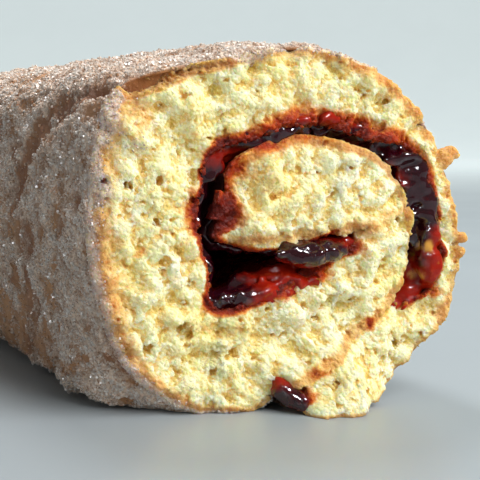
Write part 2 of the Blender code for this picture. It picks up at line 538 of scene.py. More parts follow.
# The torn cut's soft lumps, as (height, size), and its ridge where two layers touch.
CUT_NOISES = ((0.45, 10.0), (0.34, 4.6))
SEAM_HEIGHT = 0.5
SEAM_WIDTH = 0.7
# The crumb's round grains: the size of a pair, and their share of the height.
GRAINS = ((3.2, 1.4), (1.5, 1.4), (0.75, 1.1))
GRAIN_LEVEL = 0.8
SMOOTH_RIM = 0.35  # the share of the grains that is left right at the baked edge
# How far the crumb's side bulges or draws back, in millimetres or in insets.
SKIN_INSETS = 6.0
JAM_INSETS = 3.0
TONGUE_SWELL = 0.8
END_SWELL = 1.5
CLOSED_SWELL = 1.5
# How far the edges by the jam are rounded, and how much more at the sheet's inner end.
JAM_EDGE_ROUND = 0.7
END_EDGE_ROUND = 1.3
PORE_BLEND = 0.25
SPLIT_BLEND = 0.3
TUFT_BLEND = 0.5
SPLIT_DEPTH = (((-21.0, 52.0), (8.0, 6.0), 2.8),)  # where the crumb goes deeper, and how much
SPLIT_REACH = (38, 46)  # the split lies below this width and above this height of the block
WIDE_HOLLOW = 0.7  # sizes over which a place's surroundings tell how hollow it is
NARROW_HOLLOW = 0.35
FROSTED = (9.3, 22)  # the rungs between which sugar clings to the crumb's edge
EDGE_FADE = 1.8  # how softly toast and soaked jam fade into the crumb
SEAM_TOAST = 0.15  # how much less the crumb is toasted where layers touch
SPLIT_TOAST = 0.7
# Lumps (below 0) and hollows of the torn front cut: (x, z), their radii, and the height.
CUT_LUMPS = (
    ((-18.5, 48.0), (4.0, 3.2), -1.1),
    ((-12.5, 51.5), (3.0, 2.2), 1.6),
    ((20.5, 15.4), (4.5, 2.2), 2.2),
    ((24.5, 22.0), (3.0, 7.0), 1.2),
    ((28.5, 30.0), (2.5, 12.0), 0.9),
    ((2.0, 33.0), (10.0, 7.0), -0.6),
    ((-22.0, 25.0), (6.0, 14.0), -0.5),
    ((4.0, 1.5), (7.0, 3.0), -0.8),
    ((-2.0, 3.0), (2.2, 2.6), 1.8),
    ((-15.5, 40.0), (2.0, 5.0), 0.9),
    ((-19.5, 36.0), (1.6, 4.0), -0.5),
)
# Crumb full of jam, and crumb that is toasted: (x, z), the radii, and how much. The wide toasted
# spot at the left edge is partly painted shade.
SOAK_SPOTS = (
    ((-11.2, 33.4), (2.2, 4.8), 0.95),
    ((-9.0, 32.6), (1.4, 4.6), 0.35),
    ((-8.6, 38.6), (2.2, 1.8), 0.9),
    ((-3.6, 41.6), (4.0, 1.1), 0.8),
    ((3.5, 43.0), (6.0, 0.9), 0.5),
    ((-14.6, 31.6), (1.6, 3.4), 0.8),
    ((-12.4, 17.4), (1.2, 1.4), 0.7),
    ((-10.4, 41.2), (2.4, 1.6), 0.5),
    ((12.6, 45.0), (2.4, 1.5), 0.4),
    ((4.6, 24.6), (7.0, 1.3), 0.8),
    ((-7.0, 17.4), (3.0, 1.2), 0.6),
    ((-1.5, 18.6), (3.6, 1.5), 0.8),
    ((4.5, 21.4), (3.4, 1.4), 0.9),
    ((14.3, 12.6), (0.6, 0.8), 0.9),
    ((14.6, 13.6), (1.3, 0.5), 0.45),
    ((3.8, 6.2), (1.7, 0.6), 0.5),
    ((2.6, 5.6), (0.8, 0.6), 0.4),
    ((26.2, 17.6), (1.4, 1.2), 0.6),
)
TOAST_SPOTS = (
    ((-6.0, 26.9), (4.5, 1.1), 0.75),
    ((4.5, 27.2), (9.0, 1.6), 0.85),
    ((13.0, 28.8), (5.0, 1.6), 0.8),
    ((18.5, 30.8), (2.4, 1.1), 0.8),
    ((-12.0, 1.2), (7.0, 2.4), 0.4),
    ((-23.0, 46.6), (2.6, 3.4), 0.7),
    ((-20.5, 52.2), (4.2, 1.0), 0.5),
    ((23.0, 15.2), (3.6, 2.2), 0.6),
    ((6.0, 0.6), (8.0, 1.6), 0.3),
    ((-6.0, 12.0), (5.0, 3.0), 0.35),
    ((-10.0, 26.0), (1.5, 3.0), 0.5),
    # Partly painted shade: the left edge of the cut, where the roll curves away from the light,
    # drawn more golden and darker.
    ((-24.5, 29.0), (5.0, 16.0), 0.2),
    ((-15.0, 25.0), (2.0, 6.0), 0.3),
)
FROST_SPOTS = (
    ((-23.8, 41.8), (1.4, 1.3), 0.8),
    ((-28.3, 35.0), (1.2, 2.2), 1.3),
    ((-27.0, 45.0), (1.8, 4.0), 0.7),
    ((-24.0, 49.5), (3.0, 1.4), 0.7),
    ((-5.4, 54.8), (1.6, 1.2), 0.9),
    ((-12.5, 55.0), (5.0, 0.8), 0.6),
)
# Tufts of crumb that stick out past the skin: (x, depth, z, radius).
TUFTS = (
    (27.2, 0.8, 39.4, 1.6),
    (28.4, 0.5, 40.5, 1.1),
    (29.3, 0.4, 40.0, 0.7),
    (30.8, 0.6, 26.4, 0.9),
    (30.7, 0.5, 24.2, 0.7),
)
# Single pores: (x, depth, z, radius, squash).
BIG_PORES = (
    (6.6, 0.2, 16.6, 1.35, 0.8),
    (7.6, 0.3, 16.9, 1.0, 0.9),
    (4.8, -0.6, 11.6, 1.9, 1.2),
    (-20.8, 0.2, 30.4, 0.65, 0.8),
    (-20.8, 1.0, 30.3, 0.75, 0.8),
    (-24.9, 0.3, 35.7, 0.8, 0.5),
    (-20.3, 0.4, 36.4, 0.7, 0.5),
    (-28.4, 0.8, 36.6, 0.6, 0.7),
    (19.4, 0.4, 9.2, 0.85, 0.7),
    (17.3, 0.4, 7.4, 0.95, 0.7),
    (-16.4, 0.5, 13.5, 1.3, 0.8),
    (-15.6, 0.4, 12.7, 0.9, 0.8),
)


def spots_at(spots, x, z):
    """The sum of soft round spots at each place of the section."""
    return sum(
        amount * np.exp(-(((x - middle[0]) / size[0]) ** 2) - ((z - middle[1]) / size[1]) ** 2)
        for middle, size, amount in spots
    )


def cut_relief(section, front, seed):
    """How far the torn cut stands back at each place of the section."""
    relief = sum(
        height * noise_block(section.shape, section.step, size, seed + i)
        for i, (height, size) in enumerate(CUT_NOISES)
    )
    if front:
        relief += spots_at(CUT_LUMPS, section["x"], section["z"])
        ridge = np.exp(-((section.seam() / SEAM_WIDTH) ** 2))
        relief += SEAM_HEIGHT * section["closed"] * ridge
    return relief.astype(np.float32)


def crumb_balls(section, relief, counts, seed):
    """The crumb's pores as (x, depth, z, radius, squash), close under the cut."""
    rng = np.random.default_rng(seed)
    balls = []
    for number, smallest, largest, deepest in counts:
        spots = rng.uniform(section.low, section.high, (number * 3, 2))
        inside = section.at("solid", *spots.T) < PORE_EDGE
        spots = spots[inside][:number]
        radius = smallest + (largest - smallest) * rng.random(len(spots)) ** 2
        index = ((spots - section.low) / section.step).astype(int)
        depth = relief[tuple(index.T)] + rng.uniform(-PORE_RISE, deepest, len(spots))
        for part in PORE_BALLS:
            aside = rng.uniform(-PORE_ASIDE, PORE_ASIDE, spots.shape) * (part < 1)
            x, z = (spots + radius[:, None] * aside).T
            balls += zip(x, depth, z, part * radius, rng.uniform(*PORE_SQUASH, len(spots)))
    return balls


def single_pores(section, relief):
    """The named pores, each as deep under the torn cut as its depth says."""
    for x, depth, z, radius, squash in BIG_PORES:
        i, j = np.round((np.array([x, z]) - section.low) / section.step).astype(int)
        yield x, depth + relief[i, j], z, radius, squash


def crumb_side(section, look, front, place, nearer_skin, depth):
    """How far a place is outside the crumb's sides, in a block."""
    rim_depth = front_rim_depth(place) if front else np.full_like(place, BACK_RIM_DEPTH)
    under_skin = depth - through(rim_depth)
    by_skin = SKIN_INSETS * ease(under_skin, 0.1, 0.9)
    by_jam = JAM_INSETS * ease(under_skin, 0, 1)
    inset = look.inset / MM * (np.where(through(nearer_skin), by_skin, by_jam) - 1)
    side = section["solid"]
    if front:
        swell = np.where(nearer_skin, TONGUE_SWELL * hump(place, *TONGUE), section["swell"])
        to_sides = np.minimum(section["to_skin"], section["to_jam"])
        swell = np.where(section["to_inner_end"] < to_sides + 0.3, END_SWELL, swell)
        side = side - np.maximum(swell, CLOSED_SWELL * section["closed"])
    return (through(side) + inset).astype(np.float32)


def open_split(section, field, depth):
    """Opens the split in the crust, in the corner of the block that holds it."""
    across, up = (int(reach / section.step) for reach in SPLIT_REACH)
    near = (slice(0, across), slice(None), slice(up, None))
    x, z = (through(section[name])[near[0], :, near[2]] for name in ("x", "z"))
    hollow = split_field(x, depth, z)
    field[near] = smooth_max(field[near], -hollow.astype(np.float32), SPLIT_BLEND)


def with_tufts(field, origin, step):
    """The field with the tufts added, each a soft ball."""
    for x, depth, z, radius in TUFTS:
        places = zip(origin, field.shape, (x, depth, z))
        gaps = [low + step * np.arange(count) - middle for low, count, middle in places]
        away = np.sqrt(sum(gap**2 for gap in np.ix_(*gaps))) - radius
        field = -smooth_max(-field, -away.astype(np.float32), TUFT_BLEND)
    return field


def crumb_surface(section, look, front):
    """The field of the crumb at one cut, the origin of its block, and how hollow it is."""
    seed, pores = (FRONT_SEED, FRONT_PORES) if front else (BACK_SEED, BACK_PORES)
    step = section.step
    relief = cut_relief(section, front, seed)
    depths = np.arange(*CRUMB_SPAN, step)
    depth = depths[None, :, None]
    origin = section.origin(depths)
    nearer_skin = section["to_skin"] < section["to_jam"]
    place = np.where(nearer_skin, section["skin_place"], section["jam_place"])
    jam_edge = JAM_EDGE_ROUND + END_EDGE_ROUND * (1 - ease(place, 2.5, 3.5))
    blend = through(np.where(nearer_skin, rim_round(place), jam_edge))
    side = crumb_side(section, look, front, place, nearer_skin, depth)
    field = smooth_max(side, through(relief) - depth, blend).astype(np.float32)
    balls = crumb_balls(section, relief, pores, seed + PORE_SEED)
    deepest = CRUMB_DEPTH
    if front:
        open_split(section, field, depth)
        deepest = CRUMB_DEPTH + through(spots_at(SPLIT_DEPTH, section["x"], section["z"]))
        balls += single_pores(section, relief)
    stamp_balls(field, origin, step, balls, PORE_BLEND)
    if front:
        field = with_tufts(field, origin, step)
    at_edge = SMOOTH_RIM + (1 - SMOOTH_RIM) * ease(-section["solid"], 0.0, 1.3)
    at_edge = np.maximum(at_edge, section["closed"])
    rough = look.lump / MM * through(np.where(nearer_skin | (place < 5), at_edge, 1.0))
    for i, (size, share) in enumerate(GRAINS):
        grains = np.abs(noise_block(field.shape, step, size, seed + GRAIN_SEED + i)) - GRAIN_LEVEL
        field -= share * rough * grains
    field = walled(np.maximum(field, depth - deepest))
    # How hollow each place is: by this the crumb's material paints shade into its hollows and
    # pores.
    wide, narrow = (blurred(field < 0, step, size) for size in (WIDE_HOLLOW, NARROW_HOLLOW))
    return field.astype(np.float32), origin, np.minimum(wide, narrow + 0.1)


def crumb_values(section, points, origin, hollow, front):
    """What the crumb's colour is worked out from, for each point of its surface."""
    x, depth, z = points.T
    to_skin, to_jam = section.at("to_skin", x, z), section.at("to_jam", x, z)
    outside = section.at("solid", x, z) > 0
    to_skin = np.where(outside & (to_skin < to_jam), 0, to_skin)
    place = section.at("skin_place", x, z)
    toast = rung_value("toast", place)
    soak = rung_value("soak", section.at("jam_place", x, z))
    from_jam = section.at("swell", x, z) + np.where(outside & (to_jam < to_skin), -to_jam, to_jam)
    touching = section.at("closed", x, z)
    toasted = (1 - ease(to_skin / toast, 0.15, EDGE_FADE)) * (1 - SEAM_TOAST * touching)
    soaked = (1 - ease(from_jam / soak, 0.0, EDGE_FADE)) * (1 - touching)
    index = tuple(np.round((points - origin) / section.step).astype(int).T)
    outer = (place > FROSTED[0]) & (place < FROSTED[1])
    reach = np.interp(place, RIM_PLACES, RIM_SUGAR)
    frost = (1 - ease(to_skin, 0.1, reach)) * outer * ease(reach, 0.25, 0.6)
    split = 1 - ease(split_field(x, depth, z), 0.1, 0.9) if front else 0
    return {
        "toast": toasted + spots_at(TOAST_SPOTS, x, z) + SPLIT_TOAST * split,
        "soak": soaked + spots_at(SOAK_SPOTS, x, z),
        "hollow": hollow[index],
        "frost": (frost + spots_at(FROST_SPOTS, x, z)) * (1 - split),
    }


def crumb_parts(section, field, front):
    """The crumb's field in parts side by side, each of which dips under the next at its edges."""
    if not front:
        return [("back", field)]
    parts = []
    edges = (-math.inf, *PART_EDGES, math.inf)
    for name, low, high in zip(PART_NAMES, edges[:-1], edges[1:]):
        past_low, past_high = low - section["x"], section["x"] - high
        dip = PART_DIP * ease(past_high, 0.25, 0.6) + FIRST_DIP * ease(past_low, -0.7, -0.3)
        dip += PART_DIP * ease(past_low, 0.0, 0.35)
        ends = np.maximum(past_low, past_high) - PART_OVERLAP
        parts.append((name, np.maximum(field + through(dip), through(ends))))
    return parts


def crumb_pieces(look, front):
    """Makes the crumb at one end of the roll: three pieces at the front, one at the back."""
    section = Section((look.front_step if front else look.back_step) / MM)
    field, origin, hollow = crumb_surface(section, look, front)
    material = crumb_material(look)
    for name, part in crumb_parts(section, field, front):
        points, faces = surface_of(part, origin, section.step, 0.02 if front else 0.1)
        values = crumb_values(section, points, origin, hollow, front)
        if not front:
            points, faces = at_back(points, faces)
        surface_piece(f"crumb_{name}", points, faces, material, values)


# ---------------------------------------------------------------------------------------
# The sheet's skin
# ---------------------------------------------------------------------------------------

CAP_DEPTH = 2.8
CAP_GAP = 0.2
CAP_INSET = 0.3
LIP = 0.45  # how far the skin's edge turns in, and how far behind the edge
LIP_DEPTH = 0.12
SKIN_SINK = 0.25  # how far the skin lies inside the outline, to leave room for its sugar
INNER_SINK = 0.3  # how far the sheet inside the roll lies inside its outline
SPLIT_SINK = 2.4
VALLEY_SINK = 0.7
NOISE_PITCH = 0.5
# The rows' spacing in fine pitches, and the depths over which it widens. Near the back cut
# the rows are close together again, and the last one is moved back onto the cut.
CLOSE_ROWS = 0.8
FAR_ROWS = 2.4
ROWS_WIDEN = (30, 70)
BACK_ROWS = 8
BACK_STEP = 0.8
LAST_ROW = 2
# Soft lumps laid over the skin: their size, and their seed.
SKIN_NOISES = {
    "wide wrinkles": (14.0, 51),
    "wrinkles": (5.0, 52),
    "fine wrinkles": (2.4, 53),
    "patches": (9.0, 54),
    "small patches": (3.6, 55),
    "sugar grains": (1.3, 56),
    "front edge": (2.2, 57),
    "valley lumps": (1.8, 58),
    "wide valley lumps": (3.4, 59),
    "valley sugar": (2.2, 60),
}
EDGE_NOISE = 0.14  # how uneven the skin's front edge is
SPLIT_EDGE_WIDTH = 0.25  # in rungs, where the skin's edge draws back from the split
MOST_GRAIN = 1.6
# The amounts of the sugar's cover: all over, and what patches and places add or take away.
FULL_COVER = 0.76
PATCH_COVER = 0.26
SMALL_PATCHES = 0.7
# Less sugar low on the side: partly a thinner coat, partly painted shade that draws the low side
# darker and browner.
LOW_SUGAR_AND_SHADE = 0.75
FOOT_COVER = 0.6
TOP_COVER = 0.1
FAR_LOSS = 0.1
SPLIT_LOSS = 0.8
RIGHT_LOSS = 0.5
EDGE_LOSS = 0.35
UNDER_LOSS = 0.5
# Heights over which the low part and the foot of the side end, and the under side's height.
LOW_SIDE = (3.0, 20.0)
FOOT = (2.5, 6.0)
UNDER_SIDE = 0.35
VALLEY_RADIUS = 4.2
# The split's path over the skin as (rung, depth), and its radius.
SKIN_SPLIT = ((13.72, 10.0), (13.8, 5.0), (13.88, 1.0))
SKIN_SPLIT_RADIUS = 2.3
# Places where the skin shows through the sugar: a path of (rung, depth), its radius, and
# how much sugar is missing.
BARE_PATCHES = (
    (((12.0, 33.0), (11.9, 28.5)), 4.0, 0.6),
    (((12.17, 13.0), (12.2, 8.5)), 2.6, 0.5),
    (((11.6, 31.5), (11.3, 35.0)), 3.0, 0.7),
    (((14.3, 5.0), (14.5, 25.0), (14.4, 60.0)), 6.0, 0.2),
    (((13.0, 55.0), (12.7, 90.0)), 6.0, 0.4),
)


class Sheet:
    """The rolled sheet's whole surface, as rows of points across it from front to back."""

    def __init__(self, look):
        self.look = look
        self.lay_line()
        self.lay_stations()
        self.depth = self.stations[:, None]
        self.from_cut = np.minimum(self.depth, ROLL_LENGTH - self.depth)
        self.rise = self.line[:, 1][None, :]
        self.outer = ease(self.outside, 0.2, 0.9)[None, :]
        self.valley = self.near(VALLEY, VALLEY_RADIUS)
        self.split = self.near(SKIN_SPLIT, SKIN_SPLIT_RADIUS)
        self.cover = self.sugar_cover()
        self.rows = self.surface_rows(self.heights())

    def lay_line(self):
        """Points round the sheet's outline: close together outside and further apart inside."""
        outline = np.concatenate([sheet_side("skin"), sheet_side("jam_side")[::-1]])
        count = len(outline) // 2
        rungs = np.arange(count) / CURVE_STEPS
        rungs = np.concatenate([rungs, rungs[::-1]])
        fine = (np.arange(len(outline)) < count) & (rungs > SKIN_START - 0.5)
        ring = np.concatenate([outline, outline[:1]])
        pitch = np.where(fine, self.look.fine_pitch / MM, self.look.coarse_pitch / MM)
        reach = np.concatenate([[0], np.cumsum(np.hypot(*np.diff(ring, axis=0).T) / pitch)])
        steps = np.linspace(0, reach[-1], int(reach[-1]) + 1)
        corner = np.arange(len(ring))
        along = np.interp(steps, reach, corner)
        self.line = np.stack([np.interp(along, corner, column) for column in ring.T], 1)
        self.rung = np.interp(along, corner, np.append(rungs, rungs[0]))
        self.outside = np.interp(along, corner, np.append(fine, fine[0]))
        self.arc = np.concatenate([[0], np.cumsum(np.hypot(*np.diff(self.line, axis=0).T))])
        self.skin_points = np.arange(np.argmax(self.rung) + 1)
        loop = self.line[:-1]
        ahead = np.roll(loop, -1, axis=0) - np.roll(loop, 1, axis=0)
        ahead = np.concatenate([ahead, ahead[:1]])
        normal = np.stack([ahead[:, 1], -ahead[:, 0]], 1)
        normal /= np.linalg.norm(normal, axis=1)[:, None]
        points_out = inside_line(self.line[:1] - 0.2 * normal[:1], self.line)[0]
        self.normal = normal if points_out else -normal

    def lay_stations(self):
        """Depths of the rows: close together near the front cut and further apart behind it."""
        places = [0.0]
        while places[-1] < ROLL_LENGTH - LAST_ROW:
            share = CLOSE_ROWS + (FAR_ROWS - CLOSE_ROWS) * ease(places[-1], *ROWS_WIDEN)
            step = self.look.fine_pitch / MM * share
            if ROLL_LENGTH - places[-1] < BACK_ROWS:
                step = BACK_STEP
            places.append(places[-1] + step)
        places[-1] = ROLL_LENGTH
        self.stations = np.array(places)

    def noise(self, name):
        """Soft lumps laid over the sheet's surface, at each row and point."""
        shape = (int(self.arc[-1] / NOISE_PITCH) + 2, int(ROLL_LENGTH / NOISE_PITCH) + 2)
        block = noise_block(shape, NOISE_PITCH, *SKIN_NOISES[name])
        return between_points(block, self.arc[None, :] / NOISE_PITCH, self.depth / NOISE_PITCH)

    def near(self, path, radius):
        """1 on a path of (rung, depth) over the skin, falling to 0 at a radius from it."""
        best = np.full((len(self.stations), len(self.arc)), np.inf)
        rungs, arcs = self.rung[self.skin_points], self.arc[self.skin_points]
        path = [(np.interp(rung, rungs, arcs), depth) for rung, depth in path]
        for start, end in zip(path[:-1], path[1:]):
            start, run = np.array(start), np.array(end) - np.array(start)
            u, v = self.arc[None, :] - start[0], self.depth - start[1]
            part = np.clip((u * run[0] + v * run[1]) / (run @ run), 0, 1)
            best = np.minimum(best, np.hypot(u - part * run[0], v - part * run[1]))
        return 1 - ease(best, 0.25 * radius, radius)

    def sugar_cover(self):
        """How much sugar lies at each row and point, from 0 to 1."""
        rung, depth = self.rung[None, :], self.depth
        # The crumb's soft lumps stand through the skin where the roll is bare of sugar.
        patchy = self.noise("patches") + SMALL_PATCHES * self.noise("small patches")
        low = 1 - ease(self.rise, *LOW_SIDE)
        foot = 1 - ease(self.rise, *FOOT)
        # The low part of the side loses sugar, partly as painted shade that makes it darker and
        # browner.
        cover = FULL_COVER + PATCH_COVER * patchy - LOW_SUGAR_AND_SHADE * low * ease(depth, 12.0, 32.0)
        cover += FOOT_COVER * foot
        cover += TOP_COVER * hump(rung, *TOP_OF_SKIN)
        cover -= FAR_LOSS * ease(depth, 10.0, 30.0)
        in_valley = self.valley * (0.95 + 0.3 * self.noise("valley sugar"))
        cover -= in_valley + SPLIT_LOSS * self.split
        for patch, radius, loss in BARE_PATCHES:
            cover -= loss * self.near(patch, radius) * (0.85 + 0.25 * patchy)
        right = ease(rung, 15.6, 17.5)
        cover -= RIGHT_LOSS * right * (1 - 0.8 * ease(depth, 6.0, 30.0))
        cover -= EDGE_LOSS * (1 - ease(self.from_cut, 0.4, 1.4 + 0.5 * patchy))
        cover -= UNDER_LOSS * (self.rise < UNDER_SIDE)
        return np.clip(cover, 0, 1) * self.outer

    def heights(self):
        """How far the surface stands out of the sheet's outline."""
        look = self.look
        wide, wrinkles = self.noise("wide wrinkles"), self.noise("wrinkles")
        height = look.wrinkle / MM * (0.8 * wide + 0.45 * wrinkles)
        height += 0.35 * (look.wrinkle / MM) * self.noise("fine wrinkles")
        lumps, wide_lumps = self.noise("valley lumps"), self.noise("wide valley lumps")
        height += self.valley * (0.2 * lumps + 0.12 * wide_lumps - VALLEY_SINK)
        height -= SPLIT_SINK * self.split
        grains = 0.5 + 0.5 * self.noise("sugar grains").clip(-MOST_GRAIN, MOST_GRAIN)
        height += look.sugar_depth / MM * ease(self.cover, 0.15, 0.8) * (0.6 + 0.5 * grains)
        height -= SKIN_SINK * ease(self.from_cut, 2.0, 16.0) * ease(self.rise, 1.5, 10.0)
        height *= self.outer * ease(self.from_cut, -0.5, 2.0)
        return height - INNER_SINK * (1 - self.outer)

    def surface_rows(self, height):
        """The rows as (x, depth, z), from the skin's front edge to its back edge."""
        uneven = EDGE_NOISE * self.noise("front edge")[:1]
        front_rim = front_rim_depth(self.rung)[None, :] + uneven
        front_rim += np.exp(-(((self.rung - SPLIT_RUNG) / SPLIT_EDGE_WIDTH) ** 2))[None, :]
        front_rim = self.outer * front_rim + (1 - self.outer) * (CAP_DEPTH - 0.1)
        length = ROLL_LENGTH - front_rim - BACK_RIM_DEPTH
        places = front_rim + self.depth / ROLL_LENGTH * length
        x = self.line[:, 0][None, :] + self.normal[:, 0][None, :] * height
        z = self.rise + self.normal[:, 1][None, :] * height
        z = np.maximum(z, FLOOR_GAP * (self.rise > 0))
        return np.stack([x, places, z], -1)

    def lip_row(self, depth, inset):
        """A row at a depth, drawn in from the outline."""
        line = self.line - np.reshape(inset, (-1, 1)) * self.normal
        return np.stack([line[:, 0], depth + 0 * line[:, 0], line[:, 1].clip(0.01)], 1)

    def all_rows(self):
        """The rows with a lip and a cap row added at each end."""
        front, back = self.rows[0, :, 1], self.rows[-1, :, 1]
        cap_inset = CAP_INSET + CAP_INSET * self.outside
        # Behind the tail the cap stays level with the rest, as its faces are flat.
        cap_depth = np.maximum(CAP_DEPTH, front) + CAP_GAP + tail_reach(*self.line.T)
        return np.stack([
            self.lip_row(cap_depth, cap_inset),
            self.lip_row(front + LIP_DEPTH, LIP),
            *self.rows,
            self.lip_row(back - LIP_DEPTH, LIP),
            self.lip_row(ROLL_LENGTH - CAP_DEPTH, cap_inset),
        ])


def skin_piece(look):
    """Wraps a grid round the sheet's outline, from the front cap to the back cap."""
    sheet = Sheet(look)
    rows = sheet.all_rows()
    across, along = rows.shape[1] - 1, rows.shape[0] - 1
    bm = bmesh.new()
    bmesh.ops.create_grid(bm, x_segments=across, y_segments=along, size=1.0)
    places = in_roll(rows.reshape(-1, 3)).reshape(rows.shape)
    extra = (len(rows) - len(sheet.rows)) // 2
    pad = ((extra, extra), (0, 0))
    numbers = {
        "sugar": np.pad(sheet.cover, pad),
        "bare": np.pad(np.maximum(sheet.valley, 0.6 * sheet.split), pad, mode="edge"),
        "inner": np.broadcast_to(1 - sheet.outside[None, :], rows.shape[:2]),
    }
    layers = [(bm.verts.layers.float.new(key), value) for key, value in numbers.items()]
    for vert in bm.verts:
        i = round((vert.co.y + 1) / 2 * along)
        j = round((vert.co.x + 1) / 2 * across)
        vert.co = places[i, j]
        for layer, value in layers:
            vert[layer] = value[i, j]
    seam = [vert for vert in bm.verts if vert.is_boundary]
    bmesh.ops.remove_doubles(bm, verts=seam, dist=1e-6)
    edges = [edge for edge in bm.edges if edge.is_boundary]
    caps = bmesh.ops.holes_fill(bm, edges=edges, sides=0)["faces"]
    bmesh.ops.triangulate(bm, faces=caps)
    bmesh.ops.recalc_face_normals(bm, faces=bm.faces)
    mesh = bpy.data.meshes.new("skin")
    bm.to_mesh(mesh)
    bm.free()
    obj = finished("skin", mesh, skin_material(look), {})
    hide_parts("sponge")


# ---------------------------------------------------------------------------------------
# The jam
# ---------------------------------------------------------------------------------------

# Soft blobs of jam at the front cut: (x, depth, z), then the radii along x, depth and z.
JAM_BLOBS = (
    ((4.6, 0.2, 25.0), (5.8, 2.6, 1.8)),
    ((3.6, -0.1, 24.0), (3.6, 2.4, 1.7)),
    ((-6.8, 1.0, 17.8), (3.8, 1.8, 1.3)),
    ((-2.2, 0.9, 18.6), (4.4, 1.9, 1.5)),
    ((2.8, 1.3, 20.2), (3.6, 1.8, 1.2)),
    ((9.4, 2.6, 26.0), (2.8, 1.6, 1.0)),
    ((3.2, 0.8, 45.7), (2.2, 1.4, 1.0)),
    ((7.4, 0.7, 46.0), (1.8, 1.3, 1.1)),
    ((-5.0, 2.3, 42.0), (4.6, 1.5, 1.1)),
    ((0.2, 2.2, 43.3), (3.4, 1.5, 1.1)),
    ((-11.2, 1.9, 38.4), (2.0, 1.2, 1.9)),
    ((23.4, 1.1, 36.6), (1.5, 1.6, 3.4)),
    ((24.9, 1.0, 31.6), (1.6, 1.6, 3.2)),
    ((20.4, 1.3, 39.6), (2.4, 1.6, 1.3)),
    ((25.3, 1.0, 26.6), (1.7, 1.6, 3.0)),
    ((21.9, 2.0, 34.0), (2.4, 1.6, 5.0)),
    ((25.3, 0.9, 21.8), (1.8, 1.7, 2.8)),
    ((-2.2, 0.0, 3.9), (1.3, 1.3, 1.3)),
    ((-1.2, 0.0, 3.1), (1.4, 1.4, 1.4)),
    ((-0.3, 0.0, 2.3), (1.3, 1.3, 1.4)),
)
# Where the jam is drawn nearly black: (x, z), the radii, and how much. It is nearly black where it
# lies thick, and painted shade where it fills the shadowed gaps beside and under the tongue, beside
# the pocket's red jam and left of the tail's drop.
DARK_JAM_AND_SHADE = (
    ((23.6, 37.0), (4.0, 4.6), 1.0),
    ((24.0, 31.0), (4.0, 3.4), 1.0),
    ((19.6, 41.0), (5.0, 3.0), 1.0),
    # Painted shade: the left side of the pocket's red jam, shaded by the inner layer.
    ((22.8, 26.0), (1.5, 6.0), 0.8),
    # Painted shade: the gap left of the tongue's end.
    ((-11.6, 27.0), (2.6, 9.0), 1.2),
    ((4.6, 24.9), (6.4, 2.3), 1.2),
    ((-8.4, 18.0), (3.6, 2.6), 0.7),
    ((-4.5, 42.2), (5.0, 1.8), 1.0),
    ((3.0, 43.8), (6.0, 1.5), 1.0),
    ((11.0, 43.2), (5.0, 1.6), 1.0),
    # Painted shade: the gap left of the tongue, higher up.
    ((-11.5, 35.0), (4.0, 4.0), 1.0),
    # Painted shade: the hollow under the tongue's end.
    ((-9.0, 21.5), (5.0, 3.0), 1.0),
    # Partly the drop's own dark red, partly painted shade in the crevice left of it.
    ((-1.2, 2.4), (3.6, 2.6), 0.9),
    # Painted shade: the hollow under the tongue, left of its blob.
    ((-5.5, 25.4), (6.0, 1.5), 1.2),
)
# Golden seeds and crumbs under the jam's surface: (x, z), the radii, and how much.
GOLD_SPOTS = (
    ((24.4, 25.2), (0.9, 1.1), 1.2),
    ((23.6, 20.2), (0.9, 1.4), 0.7),
    ((25.8, 22.6), (0.5, 0.9), 0.5),
)
JAM_SEED = 71  # the seeds after it are for the lumps, the cut and the small lumps
JAM_GAP = 0.35  # how far the jam stays from the crumb's sides
JAM_STARTS = 3.0  # the rung from which the jam lies as deep as its rungs say
THIN_JAM = 0.3  # how deep it lies before that, away from the front
NO_JAM = -1.0
LEAST_DEPTH = 0.05
# The jam is uneven by a share of its depth, and lies deeper behind the front cut.
UNEVEN_SHARE = 0.30
UNEVEN_SIZE = 4.0
DEEPENS = (1.5, 4.5)
DEEPER = 1.8
SEAM_CLEARANCE = 2.0
JAM_BLEND = 0.4
BLOB_BLEND = 1.0
EDGE_BLEND = 0.9
LUMP_SIZE = 3.2
LUMP_HEIGHT = 0.14
BLOB_LUMP_HEIGHT = 0.16
SMALL_LUMP_SIZE = 1.4
SMALL_LUMP_HEIGHT = 0.03
# How far the jam stands back from the cut, and by how much and over what size that varies.
SET_BACK = (1.3, 0.5, 6.0)
FRONT_JAM_SPAN = (-3.9, 5.2)  # the depths at which the jam's block and the jam itself end
BACK_JAM_SPAN = (-1.0, 3.6)
JAM_BLOCK_END = 6.0
LEAST_JAM = 60  # points of the smallest loose bit of jam that stays
# The jam between the two ends: its pitch across and along the roll, and where it starts.
MIDDLE_PITCH = 0.45
MIDDLE_STEP = 1.6
MIDDLE_START = 3.0
MIDDLE_END = 1.4
FULL_JAM = (24.0, 40.0)  # the depths over which the jam comes to fill the whole gap
MIDDLE_FLOOR = 2.0
MIDDLE_SWELL = 0.05
MIDDLE_DARK = 0.5


def jam_shape(section, depths, front):
    """The jam's field without its cuts: below 0 on the sheet's jam side, as deep as it lies."""
    to_jam, place = section["to_jam"], section["jam_place"]
    depth_of_jam = rung_value("jam", place)
    lies = np.where(place > JAM_STARTS, depth_of_jam, NO_JAM if front else THIN_JAM)
    jammed = (depth_of_jam > LEAST_DEPTH) & ~section["outdoors"]
    lies = through(np.where(jammed, lies, NO_JAM))
    thick = through(to_jam)
    shape = (section.shape[0], len(depths), section.shape[1])
    if front:
        uneven = noise_block(shape, section.step, UNEVEN_SIZE, JAM_SEED)
        deeper = ease(depths, *DEEPENS)[None, :, None]
        thick = thick - lies * (1 + UNEVEN_SHARE * uneven) - DEEPER * deeper
        thick = thick + SEAM_CLEARANCE * ((1 - deeper) * through(section["closed"]))
    else:
        thick = np.broadcast_to(thick - lies, shape)
    clear = through(-section["solid"]) - JAM_GAP
    return smooth_max(thick, clear, JAM_BLEND).astype(np.float32)


